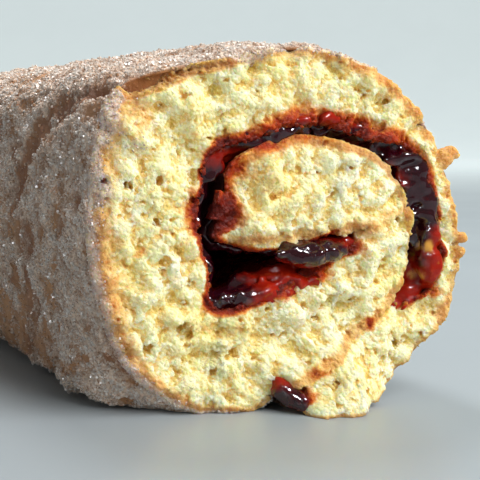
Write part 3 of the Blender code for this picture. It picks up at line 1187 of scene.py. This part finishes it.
def jam_end(look, front):
    """The jam at one cut: it stands back from the crumb, with blobs that bulge out."""
    section = Section(look.step / MM)
    step = section.step
    first, last = FRONT_JAM_SPAN if front else BACK_JAM_SPAN
    depths = np.arange(first, JAM_BLOCK_END, step)
    depth = depths[None, :, None]
    field = jam_shape(section, depths, front)
    lumps = noise_block(field.shape, step, LUMP_SIZE, JAM_SEED + 1)
    small = SMALL_LUMP_HEIGHT * noise_block(field.shape, step, SMALL_LUMP_SIZE, JAM_SEED + 3)
    middle, height, size = SET_BACK
    set_back = middle + height * noise_block(section.shape, step, size, JAM_SEED + 2)
    field = smooth_max(field, through(set_back) - depth, EDGE_BLEND)
    field += LUMP_HEIGHT * lumps + small
    if front:
        x, z = through(section["x"]), through(section["z"])
        for middle, radii in JAM_BLOBS:
            gaps = ((part - at) / radius for part, at, radius in zip((x, depth, z), middle, radii))
            ball = np.sqrt(sum(gap**2 for gap in gaps))
            ball = (ball - 1) * min(radii) + BLOB_LUMP_HEIGHT * lumps + small
            field = -smooth_max(-field, -ball, BLOB_BLEND)
    field = walled(np.maximum(field, depth - last).astype(np.float32))
    detail = 0.02 if front else 0.2
    points, faces = surface_of(field, section.origin(depths), step, detail, LEAST_JAM)
    x, _, z = points.T
    # The darkness holds both thick jam and painted shade in the shadowed gaps.
    dark, gold = spots_at(DARK_JAM_AND_SHADE, x, z).clip(0, 1), spots_at(GOLD_SPOTS, x, z)
    if not front:
        dark, gold = MIDDLE_DARK + 0 * x, 0 * x
        points, faces = at_back(points, faces)
    name = "jam_front" if front else "jam_back"
    surface_piece(name, points, faces, jam_material(look), {"dark": dark, "gold": gold})


def jam_middle(look):
    """The jam between the two ends, in a coarser mesh that runs right through the roll."""
    section = Section(MIDDLE_PITCH)
    depths = np.arange(MIDDLE_START, ROLL_LENGTH - MIDDLE_END, MIDDLE_STEP)
    full = ease(np.minimum(depths, ROLL_LENGTH - depths), *FULL_JAM)[None, :, None]
    gap = np.where(section["outdoors"], section.far, -section["solid"] - JAM_GAP)
    gap = through(np.maximum(gap, MIDDLE_FLOOR - section["z"]))
    field = jam_shape(section, depths, False) - MIDDLE_SWELL
    field = walled(field * (1 - full) + gap * full)
    step = np.array([section.step, MIDDLE_STEP, section.step])
    points, faces = surface_of(field, section.origin(depths), step, 0.4)
    dark = np.full(len(points), MIDDLE_DARK)
    obj = surface_piece("jam_middle", points, faces, jam_material(look), {"dark": dark})
    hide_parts("jam")


# ---------------------------------------------------------------------------------------
# Sugar
# ---------------------------------------------------------------------------------------

SUGAR_SEED = 91
CRYSTAL_SHAPE = (0.7, 1.15)  # the least and largest side of a crystal, in its size
CRYSTAL_RISE = 0.42
SIZE_SKEW = 1.8  # how much commoner small crystals are
SKIN_CRYSTALS = (0.5, 0.9)  # the least size and what chance adds, in the middle size
RIM_CRYSTALS = (0.4, 0.7)
CRYSTAL_CLEARANCE = 0.9  # how high a crystal's middle stays over the floor, in its size
THIN_SUGAR = (60, 120)  # the depths over which the sugar gets thinner
RIGHT_SIDE = 16.2  # the rung after which less sugar lies
NO_SUGAR_BELOW = 0.0008
# Directions of the waves that gather the edge's crystals in clumps.
CLUMPS = ((1900, 1300, 2300), (-900, 2100, 1500))


def joined_copies(name, source, places, turns, sizes, material, values):
    """Many copies of a small closed mesh, joined: each has a place, a turn and three sizes."""
    corners = np.array([vert.co for vert in source.verts])
    faces = np.array([[vert.index for vert in face.verts] for face in source.faces])
    points = corners[None] * sizes[:, None, :]
    points = np.einsum("nij,nkj->nki", turns, points) + places[:, None, :]
    points = points.reshape(-1, 3)
    index = faces[None] + len(corners) * np.arange(len(places))[:, None, None]
    index = index.reshape(-1)
    mesh = mesh_of(name, points, index, np.arange(0, len(index), faces.shape[1]))
    values = {key: np.repeat(numbers, len(corners)) for key, numbers in values.items()}
    finished(name, mesh, material, values).data.shade_flat()


def random_turns(rng, count):
    """Turns evenly spread over all directions, as matrices."""
    q = rng.standard_normal((count, 4))
    q /= np.linalg.norm(q, axis=1)[:, None]
    w, x, y, z = q.T
    rows = [
        [1 - 2 * (y * y + z * z), 2 * (x * y - z * w), 2 * (x * z + y * w)],
        [2 * (x * y + z * w), 1 - 2 * (x * x + z * z), 2 * (y * z - x * w)],
        [2 * (x * z - y * w), 2 * (y * z + x * w), 1 - 2 * (x * x + y * y)],
    ]
    return np.moveaxis(np.array(rows), -1, 0)


def crystal_sizes(look, rng, count, least, spread):
    return look.crystal_size * (least + spread * rng.random(count) ** SIZE_SKEW)


def crystal_piece(name, spots, normals, sizes, clear, rng, material):
    """Sugar crystals half sunk into a surface, each turned its own way."""
    cube = bmesh.new()
    bmesh.ops.create_cube(cube, size=1.0)
    bmesh.ops.triangulate(cube, faces=cube.faces)
    count = len(spots)
    shapes = sizes[:, None] * rng.uniform(*CRYSTAL_SHAPE, (count, 3))
    spots = spots + normals * (sizes * rng.uniform(0.0, CRYSTAL_RISE, count))[:, None]
    spots[:, 2] = np.maximum(spots[:, 2], CAD_LOW.z + sizes * CRYSTAL_CLEARANCE)
    turns = random_turns(rng, count)
    joined_copies(name, cube, spots, turns, shapes, material, {"clear": clear.clip(0, 1)})
    cube.free()


def skin_sugar(look, sheet, rng, material):
    """Scatters sugar crystals over the skin, thickest where the sugar has caked."""
    places = in_roll(sheet.rows.reshape(-1, 3)).reshape(sheet.rows.shape)
    across, along = np.diff(places, axis=1)[:-1], np.diff(places, axis=0)[:, :-1]
    normal = np.cross(across, along)
    area = np.linalg.norm(normal, axis=-1)
    normal = normal / np.maximum(area, 1e-12)[..., None]
    corner = places[:-1, :-1]
    outward = (normal[..., 0] * (corner[..., 0] - corner[..., 0].mean())).sum()
    normal = normal * np.sign(outward)
    cover = sheet.cover[:-1, :-1]
    weight = area * (0.12 + ease(cover, 0.1, 0.8))
    weight *= 0.45 + 0.55 * (1 - ease(sheet.depth[:-1], *THIN_SUGAR))
    weight *= 0.4 + 0.6 * (sheet.rung[None, :-1] < RIGHT_SIDE)
    weight *= 0.15 + 0.85 * ease(corner[..., 2], 0.0, NO_SUGAR_BELOW)
    weight *= sheet.outside[None, :-1] > 0.5
    chance = weight.ravel() / weight.sum()
    picked = rng.choice(len(chance), look.crystals, p=chance)
    i, j = np.unravel_index(picked, weight.shape)
    u, v = rng.random((2, look.crystals, 1))
    spots = corner[i, j] + u * across[i, j] + v * along[i, j]
    sizes = crystal_sizes(look, rng, look.crystals, *SKIN_CRYSTALS)
    clear = 1.1 - 0.95 * cover[i, j] + 0.3 * rng.standard_normal(look.crystals)
    order = np.argsort(sheet.stations[i])
    for part, chosen in enumerate(np.array_split(order, look.pieces)):
        rows = (row[chosen] for row in (spots, normal[i, j], sizes, clear))
        crystal_piece(f"sugar_{part + 1}", *rows, rng, material)


def front_crumb(attribute):
    """The front crumb's points and normals, and one of its numbers at each point."""
    rows = ([], [], [])
    for name in PART_NAMES:
        mesh = bpy.data.objects[f"crumb_{name}"].data
        sources = (
            (mesh.vertices, "co", 3),
            (mesh.vertices, "normal", 3),
            (mesh.attributes[attribute].data, "value", 1),
        )
        for row, (source, key, size) in zip(rows, sources):
            numbers = np.empty(len(source) * size, np.float32)
            source.foreach_get(key, numbers)
            row.append(numbers.reshape(-1, size).squeeze())
    return (np.concatenate(row) for row in rows)


def rim_sugar(look, rng, material):
    """Crystals on the crumb's outer edge at the front, where the sugared skin ends."""
    spots, normals, rim = front_crumb("frost")
    clump = math.prod(np.sin(spots @ np.array(waves)) for waves in CLUMPS)
    weight = rim.astype(float).clip(0, 1) ** 2 * (0.35 + 0.65 * ease(clump, -0.1, 0.6))
    count = look.rim_crystals
    picked = rng.choice(len(weight), count, p=weight / weight.sum())
    sizes = crystal_sizes(look, rng, count, *RIM_CRYSTALS)
    clear = 0.6 + 0.3 * rng.standard_normal(count)
    crystal_piece("sugar_rim", spots[picked], normals[picked], sizes, clear, rng, material)


# ---------------------------------------------------------------------------------------
# Materials
# ---------------------------------------------------------------------------------------


def tint(red, green, blue):
    """A colour as the eye sees it, 0 to 255, as the linear numbers that shaders take."""
    return tuple(((value / 255 + 0.055) / 1.055) ** 2.4 for value in (red, green, blue))


class Wire:
    """A node's output in an expression: each sum or product on it adds a Math node."""

    def __init__(self, shader, socket):
        self.shader = shader
        self.socket = socket

    def math(self, operation, *others):
        values = dict(enumerate((self, *others)))
        return self.shader.node("ShaderNodeMath", {"operation": operation}, values)

    def __add__(self, other):
        return self.math("ADD", other)

    __radd__ = __add__

    def __mul__(self, other):
        return self.math("MULTIPLY", other)

    __rmul__ = __mul__

    def __sub__(self, other):
        return self.math("SUBTRACT", other)

    def __rsub__(self, other):
        return (self * -1.0).math("ADD", other)

    def ease(self, low, high):
        """0 below low, 1 above high, and a smooth step between."""
        settings = {"interpolation_type": "SMOOTHSTEP"}
        values = {"Value": self, "From Min": low, "From Max": high}
        return self.shader.node("ShaderNodeMapRange", settings, values)


class Shader:
    """A material under construction around one Principled BSDF."""

    def __init__(self, name):
        self.material = bpy.data.materials.new(name)
        self.material.use_nodes = True
        self.tree = self.material.node_tree
        self.surface = self.tree.nodes["Principled BSDF"]
        self.coordinates = self.node("ShaderNodeTexCoord", {}, {}, "Object")

    def node(self, kind, settings, values, output=0):
        """Adds a node: first its settings, then its sockets' values or links."""
        node = self.tree.nodes.new(kind)
        for key, value in settings.items():
            setattr(node, key, value)
        for key, value in values.items():
            self.feed(node.inputs[key], value)
        return Wire(self, node.outputs[output])

    def feed(self, socket, value):
        """Links a socket to a wire, or gives it a value of its own."""
        if isinstance(value, Wire):
            self.tree.links.new(value.socket, socket)
        elif socket.type == "RGBA":
            socket.default_value = (*value, 1.0)
        else:
            socket.default_value = value

    def noise(self, size, detail=3.0, roughness=0.55):
        """Soft blotches of about a size in metres, round 0.5."""
        values = {"Vector": self.coordinates, "Scale": 1.0 / size}
        values.update({"Detail": detail, "Roughness": roughness})
        return self.node("ShaderNodeTexNoise", {}, values, "Fac")

    def cells(self, size):
        """The distance from the middles of cells of about a size in metres."""
        values = {"Vector": self.coordinates, "Scale": 1.0 / size}
        return self.node("ShaderNodeTexVoronoi", {}, values, "Distance")

    def value_of(self, attribute):
        """A number that the piece's mesh holds at each point."""
        return self.node("ShaderNodeAttribute", {"attribute_name": attribute}, {}, "Fac")

    def mix(self, below, above, share):
        """One colour laid over another."""
        settings = {"data_type": "RGBA"}
        return self.node("ShaderNodeMix", settings, {0: share, 6: below, 7: above}, 2)

    def bump(self, height, distance):
        return self.node("ShaderNodeBump", {}, {"Height": height, "Distance": distance}, "Normal")

    def finish(self, **values):
        """Feeds the Principled BSDF's sockets, which are named with _ for a space."""
        for key, value in values.items():
            self.feed(self.surface.inputs[key.replace("_", " ")], value)
        return self.material


def crumb_material(look):
    """Yellow crumb: golden where it is toasted, dark red where jam has soaked in, with painted
    shade in its hollows and pores.
    """
    shader = Shader("crumb")
    names = ("toast", "soak", "frost", "hollow")
    toast, soak, frost, hollow = (shader.value_of(name) for name in names)
    wide, fine = shader.noise(0.009), shader.noise(0.0016, 4.0)
    grain = shader.noise(0.0005, 4.0, 0.65)
    blotch = (0.4 * wide + 0.3 * fine + 0.3 * grain).ease(0.38, 0.62)
    colour = shader.mix(look.light, look.yellow, blotch * 0.75)
    # Painted shade: the crumb is drawn deeper yellow in its small hollows and ochre deep in its
    # pores.
    painted_hollow_shade = hollow + 0.25 * (grain - 0.5)
    colour = shader.mix(colour, look.deep, painted_hollow_shade.ease(0.44, 0.66) * 0.85)
    colour = shader.mix(colour, look.shade, painted_hollow_shade.ease(0.6, 0.84) * 0.8)
    toasted = (toast + 0.9 * (fine - 0.5)).ease(0.1, 0.95)
    browned = (toast * 1.2 + 1.2 * (fine - 0.5) + 0.5 * (grain - 0.5)).ease(0.7, 1.4)
    golden = shader.mix(look.golden, look.brown, browned)
    colour = shader.mix(colour, golden, toasted * 0.9)
    frosted = (frost + 1.4 * (fine - 0.5) + 0.8 * (grain - 0.5)).ease(0.4, 1.1)
    colour = shader.mix(colour, look.frost, frosted * 0.75)
    soaked = (soak + 0.8 * (fine - 0.5) + 0.7 * (wide - 0.5)).ease(0.05, 0.5)
    uneven = soak + 1.3 * (fine - 0.5) + 0.5 * (grain - 0.5)
    stain = shader.mix(look.stain, look.red, uneven.ease(0.32, 0.8))
    stain = shader.mix(stain, look.soaked, uneven.ease(0.75, 1.25))
    colour = shader.mix(colour, stain, soaked)
    height = 1.0 * grain + 0.4 * fine - 0.9 * shader.cells(0.0006)
    normal = shader.bump(height, 0.00042)
    shader.surface.subsurface_method = "RANDOM_WALK"
    return shader.finish(
        Base_Color=colour,
        Roughness=0.88 - 0.5 * soaked,
        Normal=normal,
        Subsurface_Weight=0.75,
        Subsurface_Radius=(1.0, 0.72, 0.22),
        Subsurface_Scale=0.0028,
        Specular_IOR_Level=0.15,
    )


def skin_material(look):
    """The baked skin under its sugar: brown crust, and a white granular coat over it."""
    shader = Shader("skin")
    sugar, bare, inner = (shader.value_of(name) for name in ("sugar", "bare", "inner"))
    wide, fine = shader.noise(0.012), shader.noise(0.0022, 4.0)
    grain = shader.cells(0.00062)
    dust = shader.noise(0.00045, 3.0, 0.6)
    crust = shader.mix(look.crust, look.dark_crust, (0.7 * wide + 0.3 * fine).ease(0.38, 0.64))
    crust = shader.mix(crust, look.dark_crust, bare * 0.6)
    cover = (sugar + 0.7 * (fine - 0.5) + 1.3 * (dust - 0.5) + 1.0 * (wide - 0.5)).ease(0.12, 0.95)
    # Painted shade, partly the crust showing through: the sugar coat is drawn darker and browner
    # between its grains.
    pits = (grain + 0.8 * (dust - 0.5)).ease(0.52, 0.86)
    white = shader.mix(look.sugar, look.sugar_shade, pits * 0.8)
    colour = shader.mix(crust, white, cover * 0.93)
    colour = shader.mix(colour, look.inner, inner)
    height = (1.0 - grain) * cover + 0.5 * fine + 0.35 * dust
    normal = shader.bump(height, 0.00045)
    return shader.finish(
        Base_Color=colour,
        Roughness=0.62 - 0.12 * cover,
        Normal=normal,
        Subsurface_Weight=0.22,
        Subsurface_Radius=(1.0, 0.8, 0.6),
        Subsurface_Scale=0.0009,
    )


def jam_material(look):
    """Wet red jam, nearly black where it lies thick and where shade is painted onto it in the gaps.
    """
    shader = Shader("jam")
    dark = shader.value_of("dark")
    lump, fine = shader.noise(0.0032, 3.0), shader.noise(0.0011, 3.0)
    # How dark the jam is drawn: thick jam, and painted shade where the spots put it.
    deep = (dark + 1.2 * (lump - 0.5) + 0.4 * (fine - 0.5)).ease(0.15, 0.85)
    red = shader.mix(look.red, look.orange, (fine + 0.4 * (lump - 0.5)).ease(0.52, 0.72) * 0.6)
    colour = shader.mix(red, look.dark, deep)
    gold = (shader.value_of("gold") + 0.8 * (fine - 0.5)).ease(0.3, 0.9)
    colour = shader.mix(colour, look.gold, gold)
    normal = shader.bump(0.6 * lump + 0.3 * fine, 0.0004)
    return shader.finish(
        Base_Color=colour,
        Roughness=0.34 - 0.16 * deep,
        Normal=normal,
        Specular_IOR_Level=0.1,
        Coat_Weight=0.3 + 0.7 * deep,
        Coat_Roughness=0.03,
        Subsurface_Weight=0.25,
        Subsurface_Radius=(1.0, 0.12, 0.08),
        Subsurface_Scale=0.0012,
    )


def sugar_material(look):
    """Clear-edged white crystals."""
    shader = Shader("sugar")
    cloud, clear = shader.noise(0.0012, 2.0), shader.value_of("clear")
    colour = shader.mix(look.colour, look.clear, clear)
    return shader.finish(
        Base_Color=shader.mix(colour, look.shade, cloud.ease(0.4, 0.7) * 0.5),
        Roughness=0.3,
        Subsurface_Weight=0.4,
        Subsurface_Radius=(1.0, 0.95, 0.9),
        Subsurface_Scale=0.0006,
        Transmission_Weight=0.25,
        IOR=1.45,
    )


def floor_material(look):
    """A pale floor, which turns into the bright backdrop far behind the roll."""
    shader = Shader("floor")
    cloud = shader.noise(0.08, 2.0)
    colour = shader.mix(look.floor, look.floor_shade, cloud.ease(0.3, 0.7) * 0.4)
    x, y = (
        shader.node("ShaderNodeSeparateXYZ", {}, {0: shader.coordinates}, axis) for axis in "XY"
    )
    behind = y * math.cos(CAMERA_YAW) + x * math.sin(CAMERA_YAW)
    return shader.finish(
        Base_Color=colour,
        Roughness=0.34 + 0.06 * cloud,
        Emission_Color=shader.mix(BLACK, look.glow, behind.ease(*GLOW_STARTS)),
        Emission_Strength=1.0,
    )


# ---------------------------------------------------------------------------------------
# The stage. Its lengths are in metres, but for the camera's place in the section's frame.
# ---------------------------------------------------------------------------------------

CAMERA_PLACE = (-95.588, -241.604, 44.1)
CAMERA_YAW = math.radians(28.4)
CAMERA_DIP = math.radians(5.24)
CAMERA_CLIP = 0.01
SENSOR_WIDTH = 36
FLOOR_REACH = 1.6  # half the floor's side
FLOOR_MIDDLE = -0.2
CURVE_RADIUS = 0.6  # of the bend between the floor and the backdrop
CURVE_SPIN_STEPS = 14
WALL_HEIGHT = 2.0
BLACK = (0, 0, 0)
GLOW_STARTS = (0.35, 1.3)  # how far behind the roll the backdrop's glow starts and is full
WHITE_LIGHT = (1.0, 0.985, 0.96)
BLUE_LIGHT = (0.9, 0.95, 1.0)
# Area lights: a share of the key power, the side, the bearing in degrees from -Y, the rise
# in degrees, the colour, and whether the light is seen in soft shading and in reflections.
LIGHTS = {
    "key": (1.0, 0.9, 26.0, 38.0, WHITE_LIGHT, True, False),
    "window": (1.4, 0.26, 12.0, 52.0, BLUE_LIGHT, False, True),
    "side window": (0.45, 0.16, -62.0, 30.0, BLUE_LIGHT, False, True),
    "top back": (0.3, 0.3, 165.0, 60.0, WHITE_LIGHT, True, True),
}


def staged(name, data):
    """An object in the scene that isn't part of the roll."""
    obj = bpy.data.objects.new(name, data)
    bpy.context.scene.collection.objects.link(obj)
    return obj


def make_floor(look):
    """A floor that curves up into a backdrop behind the roll."""
    low, curve_start = CAD_LOW.z, FLOOR_MIDDLE + FLOOR_REACH
    bm = bmesh.new()
    bmesh.ops.create_grid(bm, x_segments=1, y_segments=1, size=FLOOR_REACH)
    bmesh.ops.translate(bm, verts=bm.verts, vec=(0, FLOOR_MIDDLE, low))
    back = [edge for edge in bm.edges if all(vert.co.y > 1 for vert in edge.verts)]
    bmesh.ops.spin(
        bm,
        geom=back,
        cent=(0, curve_start, low + CURVE_RADIUS),
        axis=(1, 0, 0),
        angle=math.radians(90),
        steps=CURVE_SPIN_STEPS,
        use_merge=False,
    )
    top = [e for e in bm.edges if all(abs(v.co.z - CURVE_RADIUS) < 0.01 for v in e.verts)]
    grown = bmesh.ops.extrude_edge_only(bm, edges=top)["geom"]
    lifted = [part for part in grown if isinstance(part, bmesh.types.BMVert)]
    bmesh.ops.translate(bm, verts=lifted, vec=(0, 0, WALL_HEIGHT))
    turn = Matrix.Rotation(-CAMERA_YAW, 3, "Z")
    bmesh.ops.rotate(bm, verts=bm.verts, cent=(0, 0, 0), matrix=turn)
    bmesh.ops.recalc_face_normals(bm, faces=bm.faces)
    mesh = bpy.data.meshes.new("floor")
    bm.to_mesh(mesh)
    bm.free()
    mesh.materials.append(floor_material(look))
    mesh.shade_smooth()
    floor = staged("floor", mesh)


def add_lights(look):
    """The area lights, each a metre from the roll and turned to it."""
    for name, (share, size, bearing, rise, tone, soft, shine) in LIGHTS.items():
        lamp = bpy.data.lights.new(name, "AREA")
        lamp.energy, lamp.size, lamp.color = look.key_power * share, size, tone
        light = staged(name, lamp)
        turn, up = math.radians(bearing), math.radians(rise)
        flat = math.cos(up)
        place = Vector((flat * math.sin(turn), -flat * math.cos(turn), math.sin(up)))
        light.location = place
        light.rotation_euler = (-place).to_track_quat("-Z", "Y").to_euler()
        light.visible_camera = False
        light.visible_glossy = shine
        light.visible_diffuse = soft


def add_camera(look):
    data = bpy.data.cameras.new("camera")
    data.lens = look.lens
    data.sensor_width = SENSOR_WIDTH
    data.clip_start = CAMERA_CLIP
    camera = staged("camera", data)
    camera.location = (np.array(CAMERA_PLACE) + SHIFT) * MM
    camera.rotation_euler = (math.pi / 2 - CAMERA_DIP, 0, -CAMERA_YAW)
    bpy.context.scene.camera = camera


def add_world(look):
    world = bpy.data.worlds.new("studio")
    world.use_nodes = True
    background = world.node_tree.nodes["Background"]
    background.inputs["Color"].default_value = (*look.sky, 1)
    background.inputs["Strength"].default_value = look.sky_strength
    bpy.context.scene.world = world


# ---------------------------------------------------------------------------------------
# Settings, operators and panel
# ---------------------------------------------------------------------------------------


def number(name, description, default, unit="NONE"):
    return FloatProperty(
        name=name, description=description, default=default, unit=unit, precision=5
    )


def length(name, description, default):
    """A length in metres."""
    return number(name, description, default, "LENGTH")


def count(name, description, default):
    return IntProperty(name=name, description=description, default=default, min=1)


def colour(name, description, *seen):
    """A colour, whose default is given as the eye sees it."""
    limits = {"min": 0.0, "max": 1.0, "subtype": "COLOR"}
    return FloatVectorProperty(
        name=name, description=description, default=tint(*seen), **limits
    )


class CrumbSettings(PropertyGroup):
    front_step: length("Front Fineness", "Size of the finest detail at the front cut", 0.00022)
    back_step: length("Back Fineness", "Size of the finest detail at the back cut", 0.00042)
    inset: length("Inset", "How far the crumb stays inside the skin", 0.00015)
    lump: length("Lumps", "Height of the crumb's round grains", 0.00014)
    light: colour("Crumb", "Colour of the crumb", 255, 249, 214)
    yellow: colour("Yellow Crumb", "Colour of the crumb's denser blotches", 253, 233, 148)
    # Painted shade: the next two colours are laid into the crumb's hollows and pores.
    deep: colour("Deep Crumb", "Colour of the crumb in its small hollows", 240, 206, 104)
    shade: colour("Pores", "Colour of the crumb deep in its pores", 200, 152, 56)
    golden: colour("Golden Rim", "Colour of the crumb where it is lightly toasted", 242, 190, 114)
    brown: colour("Brown Rim", "Colour of the crumb next to the baked skin", 206, 140, 76)
    frost: colour("Frosted Rim", "Colour of the crumb where sugar clings to it", 250, 230, 212)
    stain: colour("Stain", "Colour of the crumb at the edge of soaked jam", 222, 138, 56)
    red: colour("Red Soak", "Colour of the crumb stained well through", 168, 56, 18)
    soaked: colour("Soaked", "Colour of the crumb full of jam", 106, 24, 11)


class SkinSettings(PropertyGroup):
    fine_pitch: length("Fine Pitch", "Spacing of the skin's points where it is seen", 0.00058)
    coarse_pitch: length("Coarse Pitch", "Spacing of the points inside the roll", 0.0022)
    wrinkle: length("Wrinkles", "Height of the skin's soft wrinkles", 0.00034)
    sugar_depth: length("Sugar Depth", "Thickness of the caked sugar", 0.00042)
    crust: colour("Crust", "Colour of the bare baked skin", 184, 134, 88)
    dark_crust: colour("Dark Crust", "Colour of the skin where it is baked darker", 136, 84, 46)
    sugar: colour("Caked Sugar", "Colour of the sugar coat", 238, 214, 192)
    # Partly the crust seen between the grains, partly painted shade in the pits.
    sugar_shade: colour("Sugar Pits", "Colour between the sugar's grains", 164, 120, 86)
    inner: colour("Inside", "Colour of the soaked crumb inside the roll", 70, 18, 10)


class JamSettings(PropertyGroup):
    step: length("Fineness", "Size of the finest detail of the jam's surface", 0.0003)
    # Also laid on as painted shade where the jam fills shadowed gaps.
    dark: colour("Thick Jam", "Colour of the jam where it lies thick", 44, 4, 14)
    red: colour("Red Jam", "Colour of the jam where it lies thin", 146, 24, 5)
    gold: colour("Seeds", "Colour of the seeds and crumbs under the jam's surface", 200, 146, 62)
    orange: colour("Thinnest Jam", "Colour of the thinnest smears of jam", 180, 60, 20)


class SugarSettings(PropertyGroup):
    crystals: count("Crystals", "Number of crystals on the skin", 60000)
    rim_crystals: count("Rim Crystals", "Number of crystals on the crumb's edge", 2400)
    pieces: count("Pieces", "Meshes that share the skin's crystals", 4)
    crystal_size: length("Crystal Size", "Middle size of a sugar crystal", 0.0003)
    colour: colour("Sugar", "Colour of the crystals", 248, 238, 228)
    shade: colour("Cloudy Sugar", "Colour of the crystals' cloudy parts", 220, 206, 196)
    clear: colour("Clear Sugar", "Colour of clear crystals on the skin", 190, 142, 102)


class StageSettings(PropertyGroup):
    lens: number("Lens", "Focal length of the camera", 90.0, "CAMERA")
    floor: colour("Floor", "Colour of the floor", 158, 168, 174)
    floor_shade: colour("Floor Shade", "Colour of the floor's darker cloud", 148, 158, 165)
    glow: colour("Backdrop", "Light of the bright backdrop", 184, 193, 192)
    sky: colour("Sky", "Colour of the soft light from all round", 232, 232, 230)
    sky_strength: number("Fill", "Strength of the light from all round", 0.24)
    key_power: number("Key Power", "Power of the key light", 15.0, "POWER")


class SWISSROLL_OT_crumb(Operator):
    """Make the crumb at both cuts"""

    bl_idname = "swissroll.crumb"
    bl_label = "Make Crumb"

    def execute(self, context):
        look = context.scene.swiss_roll_crumb
        crumb_pieces(look, True)
        crumb_pieces(look, False)
        return {"FINISHED"}


class SWISSROLL_OT_skin(Operator):
    """Make the sheet with its baked skin"""

    bl_idname = "swissroll.skin"
    bl_label = "Make Skin"

    def execute(self, context):
        skin_piece(context.scene.swiss_roll_skin)
        return {"FINISHED"}


class SWISSROLL_OT_sugar(Operator):
    """Scatter the sugar over the skin, and over the crumb's edge at the front"""

    bl_idname = "swissroll.sugar"
    bl_label = "Scatter Sugar"

    def execute(self, context):
        look = context.scene.swiss_roll_sugar
        rng = np.random.default_rng(SUGAR_SEED)
        material = sugar_material(look)
        skin_sugar(look, Sheet(context.scene.swiss_roll_skin), rng, material)
        rim_sugar(look, rng, material)
        return {"FINISHED"}


class SWISSROLL_OT_jam(Operator):
    """Make the jam"""

    bl_idname = "swissroll.jam"
    bl_label = "Make Jam"

    def execute(self, context):
        look = context.scene.swiss_roll_jam
        jam_end(look, True)
        jam_end(look, False)
        jam_middle(look)
        return {"FINISHED"}


class SWISSROLL_OT_stage(Operator):
    """Make the floor, the lights and the camera"""

    bl_idname = "swissroll.stage"
    bl_label = "Make Stage"

    def execute(self, context):
        look = context.scene.swiss_roll_stage
        make_floor(look)
        add_world(look)
        add_lights(look)
        add_camera(look)
        context.scene.view_settings.view_transform = "Standard"
        return {"FINISHED"}


class SWISSROLL_PT_panel(Panel):
    """The roll's settings and the buttons that make its pieces"""

    bl_idname = "SWISSROLL_PT_panel"
    bl_label = "Swiss Roll"
    bl_space_type = "VIEW_3D"
    bl_region_type = "UI"
    bl_category = "Swiss Roll"

    def draw(self, context):
        for operator, name, _ in STEPS:
            box = self.layout.box()
            box.operator(operator.bl_idname)
            settings = getattr(context.scene, name)
            for key in settings.__annotations__:
                box.prop(settings, key)


# Each step's operator, the name of its settings in the scene, and their class.
STEPS = (
    (SWISSROLL_OT_crumb, "swiss_roll_crumb", CrumbSettings),
    (SWISSROLL_OT_skin, "swiss_roll_skin", SkinSettings),
    (SWISSROLL_OT_sugar, "swiss_roll_sugar", SugarSettings),
    (SWISSROLL_OT_jam, "swiss_roll_jam", JamSettings),
    (SWISSROLL_OT_stage, "swiss_roll_stage", StageSettings),
)
CLASSES = (*(group for _, _, group in STEPS), *(step for step, _, _ in STEPS), SWISSROLL_PT_panel)


def register():
    for each in CLASSES:
        bpy.utils.register_class(each)
    for _, name, group in STEPS:
        setattr(bpy.types.Scene, name, PointerProperty(type=group))


def unregister():
    for _, name, _ in STEPS:
        delattr(bpy.types.Scene, name)
    for each in reversed(CLASSES):
        bpy.utils.unregister_class(each)


def main():
    register()
    bpy.ops.swissroll.crumb()
    bpy.ops.swissroll.skin()
    bpy.ops.swissroll.sugar()
    bpy.ops.swissroll.jam()
    bpy.ops.swissroll.stage()


if __name__ == "__main__":
    main()
